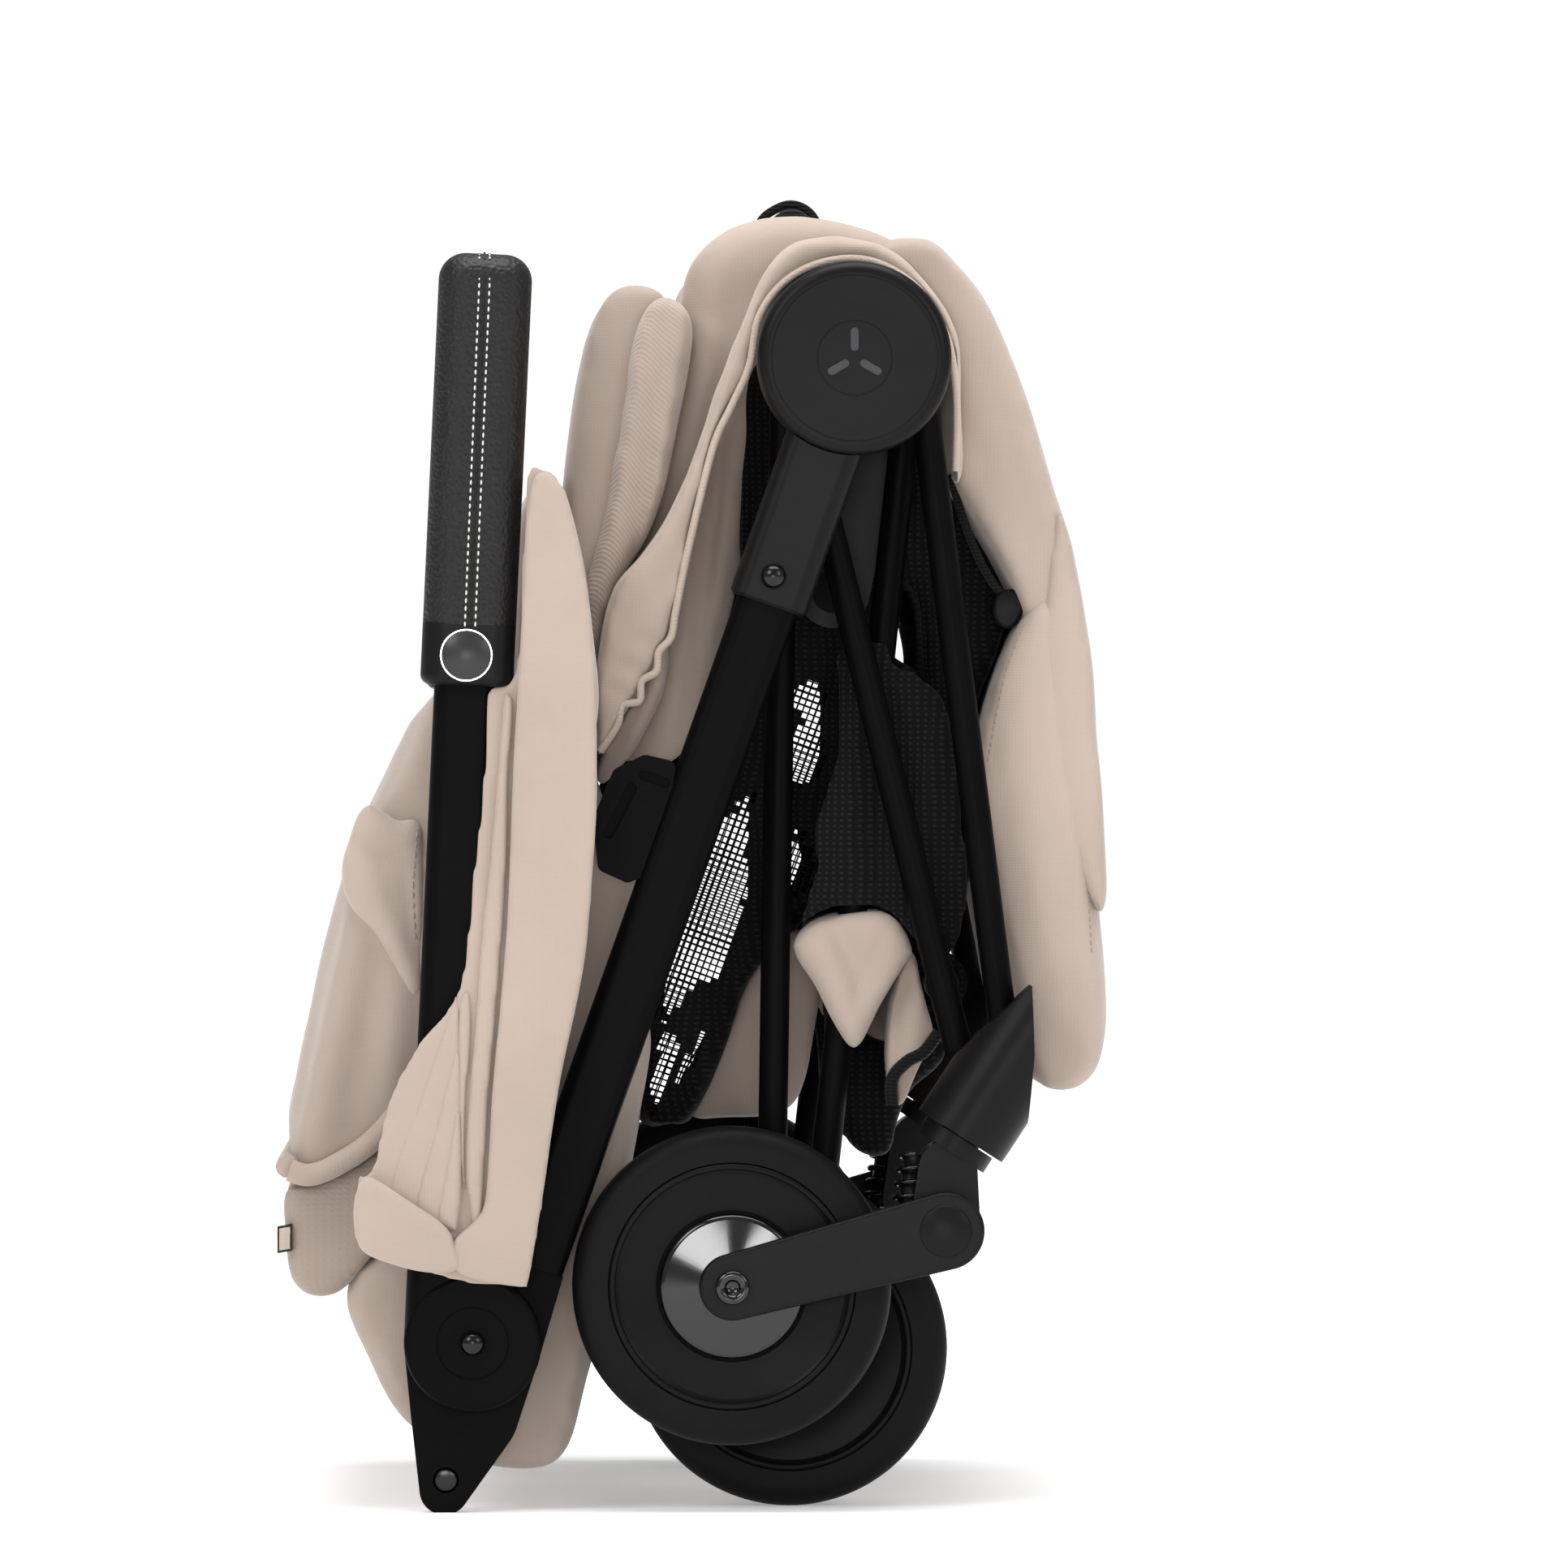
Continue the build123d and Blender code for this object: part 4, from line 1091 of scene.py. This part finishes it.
class STROLLER_OT_straps(bpy.types.Operator):
    """The carry loop, the calf strap and its buckle"""
    bl_idname = "stroller.straps"
    bl_label = "Straps"

    def execute(self, context):
        def band(name, points, half_width, thickness, material, body, y=0.0):
            bm = bmesh.new()
            line = curved(points, 8, closed=False)
            rows = [[bm.verts.new((p.x, y + s * half_width, p.y)) for s in (-1, 0, 1)] for p in line]
            for a, b in zip(rows, rows[1:]):
                for i in (0, 1):
                    bm.faces.new((a[i], a[i + 1], b[i + 1], b[i]))
            bmesh.ops.recalc_face_normals(bm, faces=bm.faces)
            obj = to_object(name, bm, material)
            solid = obj.modifiers.new("thickness", "SOLIDIFY")
            solid.thickness = thickness
            solid.offset = 0
            bevel = obj.modifiers.new("edge", "BEVEL")
            bevel.width = thickness * 0.3
            bevel.segments = 2
            return place(obj, body)

        band("carry_loop", [(26, 525), (31, 532.5), (41, 537), (50, 533), (56, 521)], 0.016, 0.003,
             "webbing", "chassis", -0.10)
        fold = slab([(30, 524), (34, 531), (41, 534.5), (48, 532), (53, 523)], -0.126, -0.108, 0.002, 4)
        place(to_object("carry_loop_fold", fold, "webbing"), "chassis")
        for side, sign in SIDES.items():
            band(f"calf_strap_{side}", [(106, 424), (113, 402), (121, 384), (131, 370)], 0.009, 0.003,
                 "webbing", "chassis", sign * 0.150)
            buckle = slab([(125, 375), (134, 377), (137, 371), (133, 362), (127, 361), (123, 367)],
                          sign * 0.146, sign * 0.160, 0.002, 3)
            place(to_object(f"calf_buckle_{side}", buckle, "black_plastic"), "chassis")
        return {"FINISHED"}


# Area lights: place in metres, width, height and power in watts.
LIGHTS = {
    "key": ((-1.7, -2.4, 2.0), 1.2, 1.2, 35),
    "fill": ((2.0, -2.3, 1.5), 1.0, 1.2, 17),
    "top": ((0.1, -0.3, 2.8), 2.4, 2.0, 92),
    "glint_left": ((-0.23, -3.2, 0.42), 0.50, 0.32, 8.5),
    "glint_right": ((0.37, -3.2, 0.41), 0.22, 0.26, 3.2),
}
CAMERA_TARGET = Vector((0.0366, -0.215, 0.297))
CAMERA_DISTANCE = 5.6
CAMERA_YAW, CAMERA_DROP = math.radians(1.15), math.radians(0.14)
CAMERA_LENS = 316
FLOOR_HALF = 14
WORLD_LIGHT, WORLD_SEEN = 0.5, 1.02
# The floor glows faintly near the stroller and more towards the horizon, to stay white there.
FLOOR_GLOW = {"From Min": 0.7, "From Max": 3.0, "To Min": 0.30, "To Max": 0.66}


class STROLLER_OT_stage(bpy.types.Operator):
    """Pale floor, soft studio light and the side-view camera"""
    bl_idname = "stroller.stage"
    bl_label = "Stage"

    def execute(self, context):
        scene = context.scene
        scene.view_settings.view_transform = "Standard"
        bm = bmesh.new()
        bmesh.ops.create_grid(bm, x_segments=1, y_segments=1, size=FLOOR_HALF)
        floor_mesh = bpy.data.meshes.new("floor")
        bm.to_mesh(floor_mesh)
        bm.free()
        floor = bpy.data.objects.new("floor", floor_mesh)
        context.collection.objects.link(floor)
        paint = bpy.data.materials.new("floor_paint")
        paint.use_nodes = True
        shader = paint.node_tree.nodes["Principled BSDF"]
        shader.inputs["Base Color"].default_value = (0.93, 0.93, 0.93, 1)
        shader.inputs["Roughness"].default_value = 0.7
        floor.data.materials.append(paint)
        shader.inputs["Emission Color"].default_value = (1, 1, 1, 1)
        nodes, links = paint.node_tree.nodes, paint.node_tree.links
        reach = nodes.new("ShaderNodeVectorMath")
        reach.operation = "LENGTH"
        links.new(nodes.new("ShaderNodeTexCoord").outputs["Object"], reach.inputs[0])
        lift = nodes.new("ShaderNodeMapRange")
        for key, value in FLOOR_GLOW.items():
            lift.inputs[key].default_value = value
        links.new(reach.outputs["Value"], lift.inputs["Value"])
        links.new(lift.outputs["Result"], shader.inputs["Emission Strength"])
        world = bpy.data.worlds.new("studio")
        world.use_nodes = True
        tree = world.node_tree
        glow = tree.nodes["Background"]
        glow.inputs["Color"].default_value = (1, 1, 1, 1)
        seen = tree.nodes.new("ShaderNodeLightPath")
        level = tree.nodes.new("ShaderNodeMapRange")
        level.inputs["To Min"].default_value = WORLD_LIGHT
        level.inputs["To Max"].default_value = WORLD_SEEN
        tree.links.new(seen.outputs["Is Camera Ray"], level.inputs["Value"])
        tree.links.new(level.outputs["Result"], glow.inputs["Strength"])
        scene.world = world
        for name, (spot, size, tall, power) in LIGHTS.items():
            light = bpy.data.lights.new(name, "AREA")
            light.shape = "RECTANGLE"
            light.size = size
            light.size_y = tall
            light.energy = power
            lamp = bpy.data.objects.new(name, light)
            context.collection.objects.link(lamp)
            lamp.location = spot
            aim = Vector((0, 0, 0.27)) - Vector(spot)
            lamp.rotation_euler = aim.to_track_quat("-Z", "Y").to_euler()
        camera = bpy.data.cameras.new("camera")
        camera.sensor_width = 36
        camera.lens = CAMERA_LENS
        camera.clip_end = 50
        eye = bpy.data.objects.new("camera", camera)
        context.collection.objects.link(eye)
        ahead = Vector((math.sin(CAMERA_YAW), 1, -math.tan(CAMERA_DROP))).normalized()
        eye.location = CAMERA_TARGET - ahead * CAMERA_DISTANCE
        eye.rotation_euler = ahead.to_track_quat("-Z", "Y").to_euler()
        scene.camera = eye
        return {"FINISHED"}


OPERATORS = (
    STROLLER_OT_finishes, STROLLER_OT_wheel_trim, STROLLER_OT_springs, STROLLER_OT_grip_stitching,
    STROLLER_OT_seat, STROLLER_OT_backrest, STROLLER_OT_seat_wrap, STROLLER_OT_canopy,
    STROLLER_OT_rear_panel, STROLLER_OT_basket, STROLLER_OT_straps, STROLLER_OT_stage)


class STROLLER_PT_panel(bpy.types.Panel):
    """Lists the stroller's settings and steps"""
    bl_idname = "STROLLER_PT_panel"
    bl_label = "Stroller"
    bl_space_type = "VIEW_3D"
    bl_region_type = "UI"
    bl_category = "Stroller"

    def draw(self, context):
        layout = self.layout
        for group in (context.scene.stroller_colours, context.scene.stroller_sizes):
            for name in group.bl_rna.properties.keys():
                if name not in ("rna_type", "name"):
                    layout.prop(group, name)
        for operator in OPERATORS:
            layout.operator(operator.bl_idname)


CLASSES = (StrollerColours, StrollerSizes, *OPERATORS, STROLLER_PT_panel)


def register():
    for cls in CLASSES:
        bpy.utils.register_class(cls)
    bpy.types.Scene.stroller_colours = PointerProperty(type=StrollerColours)
    bpy.types.Scene.stroller_sizes = PointerProperty(type=StrollerSizes)


def unregister():
    del bpy.types.Scene.stroller_colours
    del bpy.types.Scene.stroller_sizes
    for cls in reversed(CLASSES):
        bpy.utils.unregister_class(cls)


def main():
    register()
    for operator in OPERATORS:
        group, name = operator.bl_idname.split(".")
        getattr(getattr(bpy.ops, group), name)()


if __name__ == "__main__":
    main()
